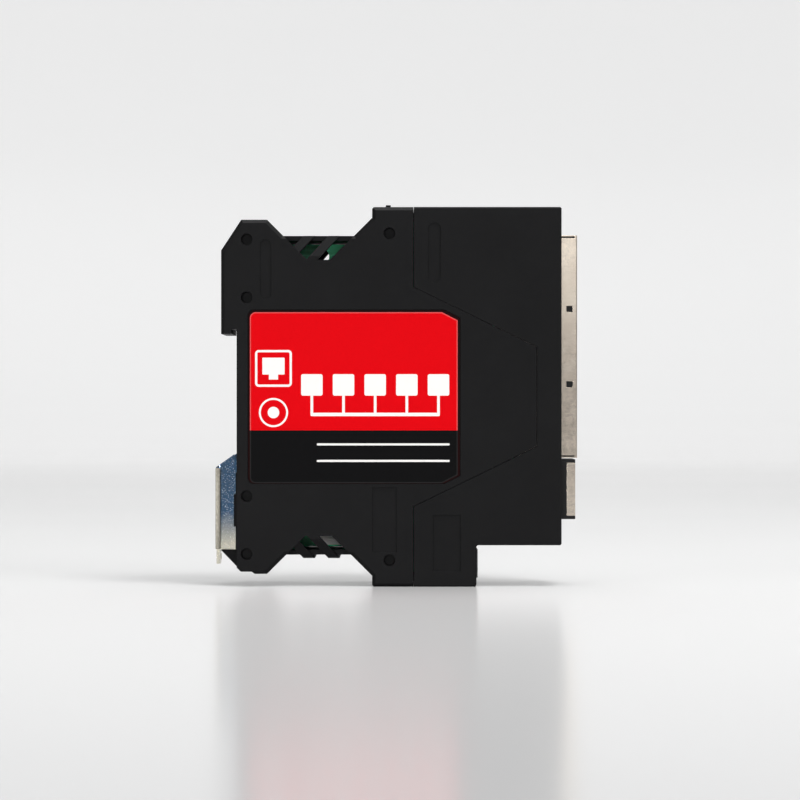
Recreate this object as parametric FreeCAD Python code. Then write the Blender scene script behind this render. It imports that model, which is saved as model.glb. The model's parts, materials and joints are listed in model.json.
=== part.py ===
# A five-port Ethernet switch in a narrow moulded housing that snaps onto a 35 mm rail.
#
# Millimetres, +Z up. X=0 is the plane where the rail's front face rests, +X points to
# the ports, Y=0 is the middle of the width and Z=0 is the rail's centre line.
# The near side, with the label, is at -Y.
import FreeCAD
import Part

import math
import os

from FreeCAD import Vector

# Rail, hook and seat
RAIL_HEIGHT = 35.0
RAIL_LIP = 1.0
RAIL_PLAY = 0.1
HOOK_OVERLAP = 1.1
HOOK_DEPTH = 4.1
HOOK_GAP = 1.4

# Housing outline
HOUSING_WIDTH = 22.5
HOUSING_HEIGHT = 99.0
FRONT_X = 84.7
SIDE_WALL = 1.8
EDGE_WALL = 1.3
SIDE_BEVEL = 0.9
FOOT_SHOULDER_Z = 38.2
FOOT_TOP_Z = 46.2
FOOT_TOP_START_X = 1.15
FOOT_TOP_LENGTH = 6.75
FOOT_STEP = 0.6
FOOT_RELIEF_START = 3.2
FOOT_RELIEF_END = 4.0
FOOT_CORNER = 1.1
UPPER_WAIST_DIP = 4.1
LOWER_WAIST_DIP = 4.9
BLOCK_X = 35.3
BLOCK_SLOPE_DROP = 2.8
BLOCK_CORNER_RADIUS = 0.7
NUB_X = 39.5
NUB_WIDTH = 1.3
NUB_HEIGHT = 0.65
NUB_LENGTH = 16.0

# Split between the two shells and the hood
SPLIT_X = 46.2
TONGUE_FRONT_GAP = 6.4
TONGUE_ROOT_Z = 28.6
TONGUE_TIP_Z = 13.0
SPLIT_GAP = 0.12
HOOD_SIDE_WALL = 1.3
HOOD_EDGE_WALL = 1.4
HOOD_BEVEL = 0.35
LIP_REACH = 3.0
LIP_THICKNESS = 1.2
LIP_PLAY = 0.1

# Bay for the plug-in power terminal, under the ports
BAY_DEPTH = 22.2
BAY_HEIGHT = 10.8

# Vents at the waist: slanting bars on a leaning face
UPPER_VENT_DROP = 6.4
LOWER_VENT_DROP = 5.1
VENT_LEAN = 3.2
VENT_WALL = 1.3
VENT_BAR_WIDTH = 3.0
VENT_BAR_PITCH = 6.5
VENT_BAR_START_GAP = 9.4
VENT_BAR_COUNT = 2
VENT_BAR_SLANT = 0.9
VENT_BAR_STAND = 0.9

# Six press pins of the far shell, in sockets through the near one
PIN_DIAMETER = 2.9
SOCKET_DIAMETER = 3.0
PIN_BOSS_DIAMETER = 5.0
PIN_SET_BACK = 1.6
REAR_PIN_X = 2.6
REAR_PIN_OUTER_Z = 41.0
REAR_PIN_INNER_Z = 25.9
FRONT_PIN_X = 39.8
FRONT_PIN_DROP = 6.9

# Label in its recess, and bare shallow pockets of the mould
LABEL_X = 3.0
LABEL_LENGTH = 55.2
LABEL_HEIGHT = 45.2
LABEL_CORNER_LENGTH = 4.1
LABEL_CORNER_HEIGHT = 2.1
LABEL_RADIUS = 1.6
LABEL_THICKNESS = 0.25
LABEL_RECESS = 0.35
LABEL_MARGIN = 0.12
POCKET_DEPTH = 0.3
REAR_SLOT_X = 6.1
REAR_SLOT_WIDTH = 2.9
REAR_SLOT_LENGTH = 15.4
REAR_SLOT_DROP = 5.2
REAR_SLOT_RADIUS = 1.4
BLOCK_PLATE_X = 35.4
BLOCK_PLATE_WIDTH = 6.3
BLOCK_PLATE_LENGTH = 17.0
BLOCK_PLATE_RISE = 8.9
HOOD_SLOT_X = 49.9
HOOD_SLOT_WIDTH = 3.3
HOOD_SLOT_LENGTH = 15.6
HOOD_SLOT_DROP = 4.1
HOOD_SLOT_RADIUS = 1.6
HOOD_PLATE_X = 51.2
HOOD_PLATE_WIDTH = 7.2
HOOD_PLATE_LENGTH = 14.8
HOOD_PLATE_RISE = 3.9

# Stamped foot catch and its spring
CATCH_SHEET = 1.0
CATCH_BEND = 1.2
CATCH_WIDTH = 12.0
CATCH_STAND = 5.8
CATCH_OVERLAP = 2.4
CATCH_LEAD_DROP = 3.4
CATCH_SLOT_PLAY = 0.3
CATCH_BOTTOM_Z = -40.0
CATCH_INNER_BOTTOM_Z = -34.7
CATCH_REACH = 6.7
CATCH_TRAVEL = 3.5
CATCH_PLAY = 0.3
CATCH_LUG_Z = -20.6
CATCH_LUG_WIDTH = 6.6
CATCH_WINDOW_HEIGHT = 5.0
CATCH_TAB_LENGTH = 4.0
CATCH_TAB_WIDTH = 6.4
CATCH_TAB_HOLE_WIDTH = 3.6
CATCH_TAB_HOLE_HEIGHT = 1.6
GUIDE_STAND = 0.45
GUIDE_TOP_DROP = 2.6
GUIDE_PAD_STAND = 0.95
GUIDE_PAD_TOP_Z = -25.5
GUIDE_PAD_BOTTOM_Z = -34.0
GUIDE_THICKNESS = 1.6
LEDGE_WIDTH = 9.2
LEDGE_GAP = 0.3
SPRING_WIRE = 0.5
SPRING_DIAMETER = 3.4
SPRING_CLOSE_GAP = 0.01
SPRING_TURNS = 9
SPRING_STEPS = 11
SPRING_WIRE_SIDES = 5
SPRING_SEAT_GAP = 0.1

# Circuit board
BOARD_THICKNESS = 1.6
BOARD_FAR_GAP = 5.05
BOARD_PLAY = 0.2
BOARD_REAR_GAP = 1.1
BOARD_HOLE_DIAMETER = 4.2
BOARD_HOLE_X = 21.6
BOARD_HOLE_DROP = 4.7
BOARD_PAD_SIDE = 4.4

# Jacks: a ganged row of four and a single one under it
JACK_STAND = 4.2
JACK_DEPTH = 21.5
JACK_SIDE_GAP = 2.45
JACK_TOP_GAP = 7.3
JACK_BAY_GAP = 6.72
JACK_END = 1.15
QUAD_COUNT = 4
SINGLE_END = 0.815
SINGLE_SET_BACK = 0.5
JACK_SPACING = 0.4
JACK_PLAY = 0.3
SHIELD_SHEET = 0.25
SHIELD_FOLD = 0.7
SHIELD_SEAM = 0.45
SHIELD_HOLE = 1.65
SHIELD_HOLE_SPACING = 19.7
SHIELD_HOLE_SET_BACK = 2.0
SINGLE_SHIELD_DEPTH = 2.2
SINGLE_SHIELD_RIB = 0.9
PORT_WALL = 2.17
PORT_DEPTH = 13.0
PORT_CEILING = 2.0
PORT_FLOOR = 1.75
LATCH_WIDTH = 6.2
LATCH_HEIGHT = 1.5
LATCH_TIP_WIDTH = 3.4
LATCH_TIP_HEIGHT = 1.1
CONTACT_COUNT = 8
CONTACT_PITCH = 1.02
CONTACT_WIDTH = 0.45
CONTACT_THICKNESS = 0.3
CONTACT_START = 3.0
CONTACT_LENGTH = 7.5
CONTACT_DROP = 2.3
LED_LATCH_GAP = 1.7
LED_END_GAP = 0.1
LED_HEIGHT = 1.5
LED_DEPTH = 4.0
LED_PLAY = 0.05
LED_WINDOW_PLAY = 0.1

# Power header: three ways, opening into the bay
HEADER_WAYS = 3
HEADER_SIDE_GAP = 3.02
HEADER_END = 0.7
HEADER_HEIGHT = 7.3
HEADER_DEPTH = 9.2
HEADER_WALL = 0.9
HEADER_FLOOR = 2.2
HEADER_STAND = 0.4
HEADER_PLAY = 0.2
HEADER_BAY_PLAY = 1.6
HEADER_PIN = 0.9
HEADER_PIN_REACH = 5.6
HEADER_TAIL = 1.6
HEADER_TAIL_STEP = 1.5

# Parts on the board
CHIP_BEVEL = 0.2
CHIP_LEAD_REACH = 1.1
CHIP_LEAD_RISE = 0.5
PART_GAP = 3.0
SWITCH_CHIP_FRONT_GAP = 46.7
SWITCH_CHIP_Z = 6.0
SWITCH_CHIP_SIDE = 14.0
SWITCH_CHIP_RISE = 1.5
SWITCH_LEAD_COUNT = 16
SWITCH_LEAD_PITCH = 0.8
SMALL_CHIP_LENGTH = 4.0
SMALL_CHIP_WIDTH = 5.0
SMALL_CHIP_RISE = 1.6
SMALL_CHIP_LEAD_COUNT = 4
SMALL_CHIP_LEAD_PITCH = 1.27
MEMORY_RISE = 8.0
TRANSFORMER_GAP = 2.2
TRANSFORMER_LENGTH = 7.0
TRANSFORMER_SPACING = 1.77
TRANSFORMER_RISE = 5.6
TRANSFORMER_LEAD_COUNT = 8
CRYSTAL_GAP = 5.15
CRYSTAL_LENGTH = 11.4
CRYSTAL_WIDTH = 4.7
CRYSTAL_RISE = 3.5
CRYSTAL_RIM = 0.4
CRYSTAL_RIM_RISE = 0.5
CRYSTAL_CORNER_ROOM = 0.25
REGULATOR_WAIST_GAP = 15.7
INDUCTOR_SIDE = 7.3
INDUCTOR_RISE = 4.5
INDUCTOR_BEVEL = 0.8
INPUT_CAN_DIAMETER = 8.0
INPUT_CAN_RISE = 9.2
CAN_BASE_MARGIN = 0.12
CAN_BASE_RISE = 0.8
CAN_GROOVE_START = 0.6
CAN_GROOVE_HEIGHT = 1.0
CAN_GROOVE_DEPTH = 0.4
CAN_TOP_BEVEL = 0.4
OUTPUT_CASE_LENGTH = 7.3
OUTPUT_CASE_WIDTH = 4.3
OUTPUT_CASE_RISE = 2.9
SUPPLY_GAP = 2.2
FUSE_LENGTH = 4.5
FUSE_WIDTH = 3.2
FUSE_RISE = 1.4
DIODE_LENGTH = 4.4
DIODE_WIDTH = 3.6
DIODE_RISE = 2.2
SUPPRESSOR_LENGTH = 4.6
SUPPRESSOR_WIDTH = 3.8
SUPPRESSOR_RISE = 2.3
SMALL_PART_PITCH = 3.2
SMALL_PART_ROW_COUNT = 5
CERAMIC_DISTANCE = 3.0
CERAMIC_LENGTH = 1.2
CERAMIC_WIDTH = 2.0
CERAMIC_RISE = 0.9
RESISTOR_DISTANCE = 5.4
RESISTOR_LENGTH = 0.8
RESISTOR_WIDTH = 1.6
RESISTOR_RISE = 0.5

# Values worked out from those above
HALF_WIDTH = HOUSING_WIDTH / 2
TOP_Z = HOUSING_HEIGHT / 2
BASE_Z = -TOP_Z
SIDE_INNER_Y = HALF_WIDTH - SIDE_WALL
HOOD_INNER_Y = HALF_WIDTH - HOOD_SIDE_WALL
RAIL_EDGE_Z = RAIL_HEIGHT / 2
BLOCK_SLOPE_Z = TOP_Z - BLOCK_SLOPE_DROP
UPPER_WAIST_Z = min(FOOT_TOP_Z, BLOCK_SLOPE_Z) - UPPER_WAIST_DIP
LOWER_WAIST_Z = min(FOOT_TOP_Z, BLOCK_SLOPE_Z) - LOWER_WAIST_DIP
FRONT_PIN_Z = TOP_Z - FRONT_PIN_DROP
FOOT_TOP_END_X = FOOT_TOP_START_X + FOOT_TOP_LENGTH
REAR_SLOPE_X = FOOT_TOP_END_X + FOOT_TOP_Z
FRONT_SLOPE_X = BLOCK_X - BLOCK_SLOPE_Z
TONGUE_X = FRONT_X - TONGUE_FRONT_GAP
BAY_X = FRONT_X - BAY_DEPTH
BAY_Z = BASE_Z + BAY_HEIGHT
CATCH_NOSE_Z = -RAIL_EDGE_Z + CATCH_OVERLAP
CATCH_SLOT_Z = -RAIL_EDGE_Z + CATCH_SLOT_PLAY
CATCH_HALF = CATCH_WIDTH / 2
BOARD_BACK_Y = HALF_WIDTH - BOARD_FAR_GAP
BOARD_Y = BOARD_BACK_Y - BOARD_THICKNESS
BOARD_REAR_X = CATCH_REACH + BOARD_REAR_GAP
JACK_FACE_X = FRONT_X + JACK_STAND
JACK_NEAR_Y = -HALF_WIDTH + JACK_SIDE_GAP
QUAD_TOP_Z = TOP_Z - JACK_TOP_GAP
JACK_ENDS = 2 * (JACK_END + SINGLE_END) + JACK_SPACING
JACK_PITCH = (QUAD_TOP_Z - BAY_Z - JACK_BAY_GAP - JACK_ENDS) / (QUAD_COUNT + 1)
QUAD_WIDTH = QUAD_COUNT * JACK_PITCH + 2 * JACK_END
QUAD_BOTTOM_Z = QUAD_TOP_Z - QUAD_WIDTH
SINGLE_WIDTH = JACK_PITCH + 2 * SINGLE_END
SINGLE_TOP_Z = QUAD_BOTTOM_Z - JACK_SPACING
SINGLE_BOTTOM_Z = SINGLE_TOP_Z - SINGLE_WIDTH
PORT_WIDTH = JACK_PITCH - PORT_WALL
PORT_NEAR_Y = JACK_NEAR_Y + SHIELD_SHEET + PORT_CEILING
PORT_HEIGHT = BOARD_Y - PORT_FLOOR - LATCH_HEIGHT - LATCH_TIP_HEIGHT - PORT_NEAR_Y
LED_WIDTH = (PORT_WIDTH - LATCH_TIP_WIDTH) / 2 - LED_LATCH_GAP - LED_END_GAP
LED_SPACING = PORT_WIDTH - 2 * LED_END_GAP - LED_WIDTH
TRANSFORMER_WIDTH = JACK_PITCH - TRANSFORMER_SPACING
HEADER_WIDTH = BOARD_Y + HALF_WIDTH - HEADER_SIDE_GAP
HEADER_PITCH = (HEADER_WIDTH - 2 * HEADER_END) / HEADER_WAYS
HEADER_Y = BOARD_Y - HEADER_WIDTH / 2
HEADER_Z = BASE_Z + HOOD_EDGE_WALL + HEADER_BAY_PLAY / 2 + HEADER_HEIGHT / 2
HEADER_FACE_X = BAY_X + HEADER_STAND
HEADER_BACK_X = HEADER_FACE_X - HEADER_DEPTH
SWITCH_CHIP_X = FRONT_X - SWITCH_CHIP_FRONT_GAP
CRYSTAL_X = SWITCH_CHIP_X
CRYSTAL_Z = SWITCH_CHIP_Z + SWITCH_CHIP_SIDE / 2 + CRYSTAL_GAP + CRYSTAL_WIDTH / 2
REGULATOR_Z = -LOWER_WAIST_Z + REGULATOR_WAIST_GAP
INPUT_CAN_X = BOARD_REAR_X + PART_GAP + CAN_BASE_MARGIN + INPUT_CAN_DIAMETER / 2
REGULATOR_X = INPUT_CAN_X + INPUT_CAN_DIAMETER / 2 + PART_GAP + CHIP_LEAD_REACH + SMALL_CHIP_LENGTH / 2
INDUCTOR_X = REGULATOR_X + SMALL_CHIP_LENGTH / 2 + CHIP_LEAD_REACH + PART_GAP + INDUCTOR_SIDE / 2
SUPPLY_X = INDUCTOR_X + INDUCTOR_SIDE / 2 + PART_GAP + FUSE_LENGTH / 2
OVER = 1.0


def box(x_range, y_range, z_range):
    """Block between two places on each axis."""
    size = [abs(pair[1] - pair[0]) for pair in (x_range, y_range, z_range)]
    corner = Vector(min(x_range), min(y_range), min(z_range))
    return Part.makeBox(size[0], size[1], size[2], corner)


def face_of(points):
    """Flat face inside a closed run of straight edges."""
    return Part.Face(Part.makePolygon(points + points[:1]))


def prism_y(outline, y_from, y_to):
    """Outline of (x, z) points carried from one Y to another."""
    face = face_of([Vector(x, y_from, z) for x, z in outline])
    return face.extrude(Vector(0, y_to - y_from, 0))


def prism_x(outline, x_from, x_to):
    """Outline of (y, z) points carried from one X to another."""
    face = face_of([Vector(x_from, y, z) for y, z in outline])
    return face.extrude(Vector(x_to - x_from, 0, 0))


def prism_z(outline, z_from, z_to):
    """Outline of (x, y) points carried from one Z to another."""
    face = face_of([Vector(x, y, z_from) for x, y in outline])
    return face.extrude(Vector(0, 0, z_to - z_from))


def offset_prism_y(outline, offset, y_from, y_to):
    """Prism along Y of an outline that is grown or, below zero, shrunk."""
    face = face_of([Vector(x, y_from, z) for x, z in outline])
    grown = face.makeOffset2D(offset, 2)
    return grown.extrude(Vector(0, y_to - y_from, 0))


def rod_y(diameter, x, z, y_from, y_to):
    """Round rod along Y."""
    base = Vector(x, min(y_from, y_to), z)
    return Part.makeCylinder(diameter / 2, abs(y_to - y_from), base, Vector(0, 1, 0))


def across_y(shape):
    """Mirror image on the other side of the middle plane."""
    return shape.mirror(Vector(0, 0, 0), Vector(0, 1, 0))


def across_z(shape):
    """Mirror image below the rail's centre line."""
    return shape.mirror(Vector(0, 0, 0), Vector(0, 0, 1))


def fuse_all(shapes):
    """One shape from several that touch or overlap."""
    return shapes[0].multiFuse(shapes[1:]).removeSplitter()


def cut_all(shape, tools):
    """Shape with every tool taken out of it."""
    return shape.cut(Part.makeCompound(tools)).removeSplitter()


def edges_at(shape, spots):
    """Edges along Y that pass through the given (x, z) spots."""
    found = []
    for edge in shape.Edges:
        first = edge.Vertexes[0].Point
        last = edge.Vertexes[-1].Point
        for x, z in spots:
            if all(math.hypot(end.x - x, end.z - z) < 0.01 for end in (first, last)):
                found.append(edge)
    return found


def housing_outline():
    """Side outline of the whole housing, shells and hood together."""
    foot_bottom = -FOOT_TOP_Z
    step_z = foot_bottom + FOOT_STEP
    return [
        (-HOOK_DEPTH, RAIL_EDGE_Z - HOOK_OVERLAP),
        (-HOOK_DEPTH, FOOT_SHOULDER_Z),
        (FOOT_TOP_START_X, FOOT_TOP_Z),
        (FOOT_TOP_END_X, FOOT_TOP_Z),
        (REAR_SLOPE_X - UPPER_WAIST_Z, UPPER_WAIST_Z),
        (FRONT_SLOPE_X + UPPER_WAIST_Z, UPPER_WAIST_Z),
        (BLOCK_X, BLOCK_SLOPE_Z),
        (BLOCK_X, TOP_Z),
        (FRONT_X, TOP_Z),
        (FRONT_X, BAY_Z),
        (BAY_X, BAY_Z),
        (BAY_X, BASE_Z),
        (BLOCK_X, BASE_Z),
        (BLOCK_X, -BLOCK_SLOPE_Z),
        (FRONT_SLOPE_X + LOWER_WAIST_Z, -LOWER_WAIST_Z),
        (REAR_SLOPE_X - LOWER_WAIST_Z, -LOWER_WAIST_Z),
        (FOOT_TOP_END_X, foot_bottom),
        (FOOT_TOP_END_X - FOOT_RELIEF_START, foot_bottom),
        (FOOT_TOP_END_X - FOOT_RELIEF_END, step_z),
        (FOOT_CORNER, step_z),
        (0.0, step_z + FOOT_CORNER),
        (0.0, RAIL_EDGE_Z + RAIL_PLAY),
        (-HOOK_GAP, RAIL_EDGE_Z + RAIL_PLAY),
        (-HOOK_GAP, RAIL_EDGE_Z - HOOK_OVERLAP),
    ]


def hood_outline():
    """Side outline of the hood, with the wedge that the shells' tongue fills."""
    return [
        (SPLIT_X, TOP_Z),
        (FRONT_X, TOP_Z),
        (FRONT_X, BAY_Z),
        (BAY_X, BAY_Z),
        (BAY_X, BASE_Z),
        (SPLIT_X, BASE_Z),
        (SPLIT_X, -TONGUE_ROOT_Z),
        (TONGUE_X, -TONGUE_TIP_Z),
        (TONGUE_X, TONGUE_TIP_Z),
        (SPLIT_X, TONGUE_ROOT_Z),
    ]


def waist_outline(margin, near_z, top_z):
    """Dip between the rear foot and the front block, grown by a margin."""
    low_z = near_z - OVER - margin
    slant = margin * math.sqrt(2)
    return [
        (REAR_SLOPE_X - slant - low_z, low_z),
        (REAR_SLOPE_X - slant - top_z, top_z),
        (FRONT_SLOPE_X + slant + top_z, top_z),
        (FRONT_SLOPE_X + slant + low_z, low_z),
    ]


def leaning_wedge(margin, waist_z, drop):
    """Space outside the leaning vent face of the near side, grown by a margin."""
    near_z = waist_z - drop
    top_z = waist_z + OVER
    lean = VENT_LEAN / drop
    shift = margin * math.hypot(1, lean)
    foot_y = -HALF_WIDTH + shift - OVER * lean
    head_y = -HALF_WIDTH + shift + (drop + OVER) * lean
    outside_y = -HALF_WIDTH - OVER
    triangle = [
        (outside_y, near_z - OVER),
        (foot_y, near_z - OVER),
        (head_y, top_z),
        (outside_y, top_z),
    ]
    slab = prism_x(triangle, 0.0, BLOCK_X + OVER)
    return slab.common(prism_y(waist_outline(margin, near_z, top_z), outside_y, 0.0))


def vent_bars(waist_z, drop, top_z):
    """Slanting bars that stand out from the near leaning face and run over the waist."""
    near_z = waist_z - drop
    height = top_z - near_z
    shift = VENT_BAR_SLANT * height
    lean = VENT_LEAN / drop
    inner = VENT_WALL * math.hypot(1, lean)
    section = [
        (-HALF_WIDTH, near_z),
        (-HALF_WIDTH, near_z + VENT_BAR_STAND),
        (-HALF_WIDTH + (height - VENT_BAR_STAND) * lean, top_z),
        (0.0, top_z),
        (0.0, waist_z - VENT_BAR_STAND),
        (-HALF_WIDTH + VENT_LEAN + inner, waist_z - VENT_BAR_STAND),
        (-HALF_WIDTH + inner, near_z),
    ]
    reach = prism_x(section, 0.0, BLOCK_X)
    room = prism_y(waist_outline(EDGE_WALL / 2, near_z, top_z), -HALF_WIDTH, 0.0)
    bars = []
    for index in range(VENT_BAR_COUNT):
        start = FOOT_TOP_END_X + VENT_BAR_START_GAP + index * VENT_BAR_PITCH
        slanted = [
            (start - shift, near_z),
            (start, top_z),
            (start + VENT_BAR_WIDTH, top_z),
            (start + VENT_BAR_WIDTH - shift, near_z),
        ]
        bars.append(prism_y(slanted, -HALF_WIDTH, 0.0).common(reach).common(room))
    return bars


def vent_opening(waist_z, drop):
    """Room cut through the leaning face, where only the bars are put back."""
    near_z = waist_z - drop
    outside_y = -HALF_WIDTH - OVER
    ledge_y = -HALF_WIDTH + VENT_LEAN
    deep = box((0.0, BLOCK_X), (outside_y, ledge_y + VENT_WALL), (near_z, waist_z - EDGE_WALL))
    high = box((0.0, BLOCK_X), (outside_y, ledge_y), (near_z, waist_z + OVER))
    room = prism_y(waist_outline(0.0, near_z, waist_z + OVER), outside_y, 0.0)
    return deep.fuse(high).common(room)


def cavity():
    """Inner space of the near half of the shells."""
    space = offset_prism_y(housing_outline(), -EDGE_WALL, -SIDE_INNER_Y, OVER)
    upper = leaning_wedge(VENT_WALL, UPPER_WAIST_Z, UPPER_VENT_DROP)
    lower = leaning_wedge(VENT_WALL, LOWER_WAIST_Z, LOWER_VENT_DROP)
    return space.cut(upper).cut(across_z(lower))


def pin_places():
    """Centres of the six press pins in the side view."""
    rear = [(REAR_PIN_X, z) for z in (REAR_PIN_OUTER_Z, REAR_PIN_INNER_Z)]
    above = rear + [(FRONT_PIN_X, FRONT_PIN_Z)]
    return above + [(x, -z) for x, z in above]


def catch_guides():
    """Ribs beside the catch, standing out behind the seat plane as two rails."""
    inner_y = -CATCH_HALF - CATCH_PLAY
    outer_y = inner_y - GUIDE_THICKNESS
    top_z = CATCH_SLOT_Z - GUIDE_TOP_DROP
    rail = box((-GUIDE_STAND, EDGE_WALL), (outer_y, inner_y), (CATCH_BOTTOM_Z, top_z))
    pad_z = (GUIDE_PAD_BOTTOM_Z, GUIDE_PAD_TOP_Z)
    pad = box((-GUIDE_PAD_STAND, EDGE_WALL), (outer_y, inner_y), pad_z)
    inner_z = (CATCH_BOTTOM_Z, CATCH_SLOT_Z)
    rib = box((CATCH_REACH - CATCH_SHEET, CATCH_REACH), (-SIDE_INNER_Y - OVER / 2, inner_y), inner_z)
    return [rail, pad, rib]


def spring_ledge():
    """Three-cornered ledge under the spring, half of it on each shell."""
    top_z = CATCH_BOTTOM_Z - LEDGE_GAP
    outline = [
        (-CATCH_STAND + CATCH_SHEET + LEDGE_GAP, top_z),
        (EDGE_WALL, top_z),
        (EDGE_WALL, -FOOT_TOP_Z + FOOT_STEP),
        (FOOT_STEP, -FOOT_TOP_Z + FOOT_STEP),
    ]
    return prism_y(outline, -LEDGE_WIDTH / 2, 0.0)


def catch_opening():
    """Gap in the rear wall that the catch's two flanges slide in."""
    half = CATCH_HALF + CATCH_PLAY
    bottom_z = CATCH_INNER_BOTTOM_Z - CATCH_TRAVEL - CATCH_PLAY
    return box((-OVER, EDGE_WALL + OVER / 2), (-half, half), (bottom_z, CATCH_SLOT_Z + 2 * CATCH_PLAY))


def front_lips():
    """Lips inside the hood's top and bottom walls and behind its slanting edges."""
    outer_z = TOP_Z - HOOD_EDGE_WALL - LIP_PLAY
    lip_z = (outer_z - LIP_THICKNESS, outer_z)
    x_range = (SPLIT_X - LIP_REACH, SPLIT_X + LIP_REACH)
    upper = box(x_range, (-SIDE_INNER_Y, 0.0), lip_z)
    outer_y = -HOOD_INNER_Y + LIP_PLAY
    inner_y = outer_y + LIP_THICKNESS
    rise = (TONGUE_ROOT_Z - TONGUE_TIP_Z) / (TONGUE_X - SPLIT_X)
    end_x = JACK_FACE_X - JACK_DEPTH - SINGLE_SET_BACK - JACK_PLAY
    end_z = TONGUE_ROOT_Z - rise * (end_x - SPLIT_X)
    strip = [
        (SPLIT_X, TONGUE_ROOT_Z - LIP_REACH),
        (SPLIT_X, TONGUE_ROOT_Z + LIP_REACH),
        (end_x, end_z + LIP_REACH),
        (end_x, end_z - LIP_REACH),
    ]
    side = prism_y(strip, outer_y, inner_y)
    return [upper, across_z(upper), side, across_z(side)]


def bevelled_edges(solid):
    """Edges of the near side that carry the bevel: all but those at the rail."""
    found = []
    for edge in solid.Edges:
        ends = [vertex.Point for vertex in edge.Vertexes]
        at_side = all(end.y < -HALF_WIDTH + 0.01 for end in ends)
        at_rail = all(end.x < FOOT_TOP_END_X - FOOT_STEP and end.z < RAIL_EDGE_Z + OVER for end in ends)
        if at_side and not at_rail:
            found.append(edge)
    return found


def plain_shell():
    """Near half of the rear housing, with what both shells have alike."""
    solid = prism_y(housing_outline(), -HALF_WIDTH, 0.0)
    solid = solid.makeChamfer(SIDE_BEVEL, bevelled_edges(solid))
    solid = solid.makeFillet(BLOCK_CORNER_RADIUS, edges_at(solid, [(BLOCK_X, TOP_Z), (BLOCK_X, BASE_Z)]))
    hood_room = offset_prism_y(hood_outline(), SPLIT_GAP, -HALF_WIDTH - OVER, OVER)
    upper_wedge = leaning_wedge(0.0, UPPER_WAIST_Z, UPPER_VENT_DROP)
    lower_wedge = leaning_wedge(0.0, LOWER_WAIST_Z, LOWER_VENT_DROP)
    solid = cut_all(solid, [hood_room, upper_wedge, across_z(lower_wedge), cavity()])
    bosses = [rod_y(PIN_BOSS_DIAMETER, x, z, -SIDE_INNER_Y - OVER / 2, 0.0) for x, z in pin_places()]
    nub_x = (NUB_X - NUB_WIDTH / 2, NUB_X + NUB_WIDTH / 2)
    nub = box(nub_x, (-NUB_LENGTH / 2, 0.0), (TOP_Z - EDGE_WALL, TOP_Z + NUB_HEIGHT))
    upper_opening = vent_opening(UPPER_WAIST_Z, UPPER_VENT_DROP)
    lower_opening = vent_opening(LOWER_WAIST_Z, LOWER_VENT_DROP)
    solid = cut_all(solid, [upper_opening, across_z(lower_opening), catch_opening()])
    upper_bars = vent_bars(UPPER_WAIST_Z, UPPER_VENT_DROP, UPPER_WAIST_Z)
    lower_top_z = LOWER_WAIST_Z + VENT_BAR_STAND
    lower_bars = [across_z(bar) for bar in vent_bars(LOWER_WAIST_Z, LOWER_VENT_DROP, lower_top_z)]
    added = bosses + upper_bars + lower_bars + front_lips() + catch_guides() + [spring_ledge(), nub]
    return fuse_all([solid] + added)


def near_shell():
    """Near half: sockets for the pins, the label's recess and two bare pockets."""
    socket_holes = [rod_y(SOCKET_DIAMETER, x, z, -HALF_WIDTH - OVER, OVER) for x, z in pin_places()]
    recess_y = (-HALF_WIDTH - OVER, -HALF_WIDTH + LABEL_RECESS)
    recess = label_prism(LABEL_MARGIN, recess_y)
    slot_top_z = FOOT_TOP_Z - REAR_SLOT_DROP
    slot_x = (REAR_SLOT_X, REAR_SLOT_X + REAR_SLOT_WIDTH)
    slot = rounded_pocket(slot_x, (slot_top_z - REAR_SLOT_LENGTH, slot_top_z), REAR_SLOT_RADIUS)
    plate_z = BASE_Z + BLOCK_PLATE_RISE
    plate_x = (BLOCK_PLATE_X, BLOCK_PLATE_X + BLOCK_PLATE_WIDTH)
    plate = pocket_box(plate_x, (plate_z, plate_z + BLOCK_PLATE_LENGTH))
    return cut_all(plain_shell(), socket_holes + [recess, slot, plate])


def far_shell():
    """Far half: the six pins and the pads that carry the circuit board."""
    pin_end = -HALF_WIDTH + PIN_SET_BACK
    pins = [rod_y(PIN_DIAMETER, x, z, pin_end, OVER) for x, z in pin_places()]
    half = BOARD_PAD_SIDE / 2
    pad_y = (BOARD_BACK_Y, SIDE_INNER_Y + OVER / 2)
    pads = [box((x - half, x + half), pad_y, (z - half, z + half)) for x, z in board_pads()]
    return fuse_all([across_y(plain_shell())] + pins + pads)


def pocket_box(x_range, z_range):
    """Shallow bare pocket in the near side."""
    return box(x_range, (-HALF_WIDTH - OVER, -HALF_WIDTH + POCKET_DEPTH), z_range)


def rounded_pocket(x_range, z_range, radius):
    """Shallow bare pocket with round ends."""
    pocket = pocket_box(x_range, z_range)
    corners = [(x, z) for x in x_range for z in z_range]
    return pocket.makeFillet(radius, edges_at(pocket, corners))


def label_prism(margin, y_range):
    """Label outline, round at the rear corners and cut off at the front ones."""
    start_x = LABEL_X - margin
    end_x = LABEL_X + LABEL_LENGTH + margin
    half = LABEL_HEIGHT / 2 + margin
    outline = [
        (start_x, half),
        (end_x - LABEL_CORNER_LENGTH, half),
        (end_x, half - LABEL_CORNER_HEIGHT),
        (end_x, -half + LABEL_CORNER_HEIGHT),
        (end_x - LABEL_CORNER_LENGTH, -half),
        (start_x, -half),
    ]
    prism = prism_y(outline, y_range[0], y_range[1])
    return prism.makeFillet(LABEL_RADIUS, edges_at(prism, [(start_x, half), (start_x, -half)]))


def side_label():
    """Printed film in the recess of the near shell."""
    floor_y = -HALF_WIDTH + LABEL_RECESS
    return label_prism(0.0, (floor_y - LABEL_THICKNESS, floor_y))


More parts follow.
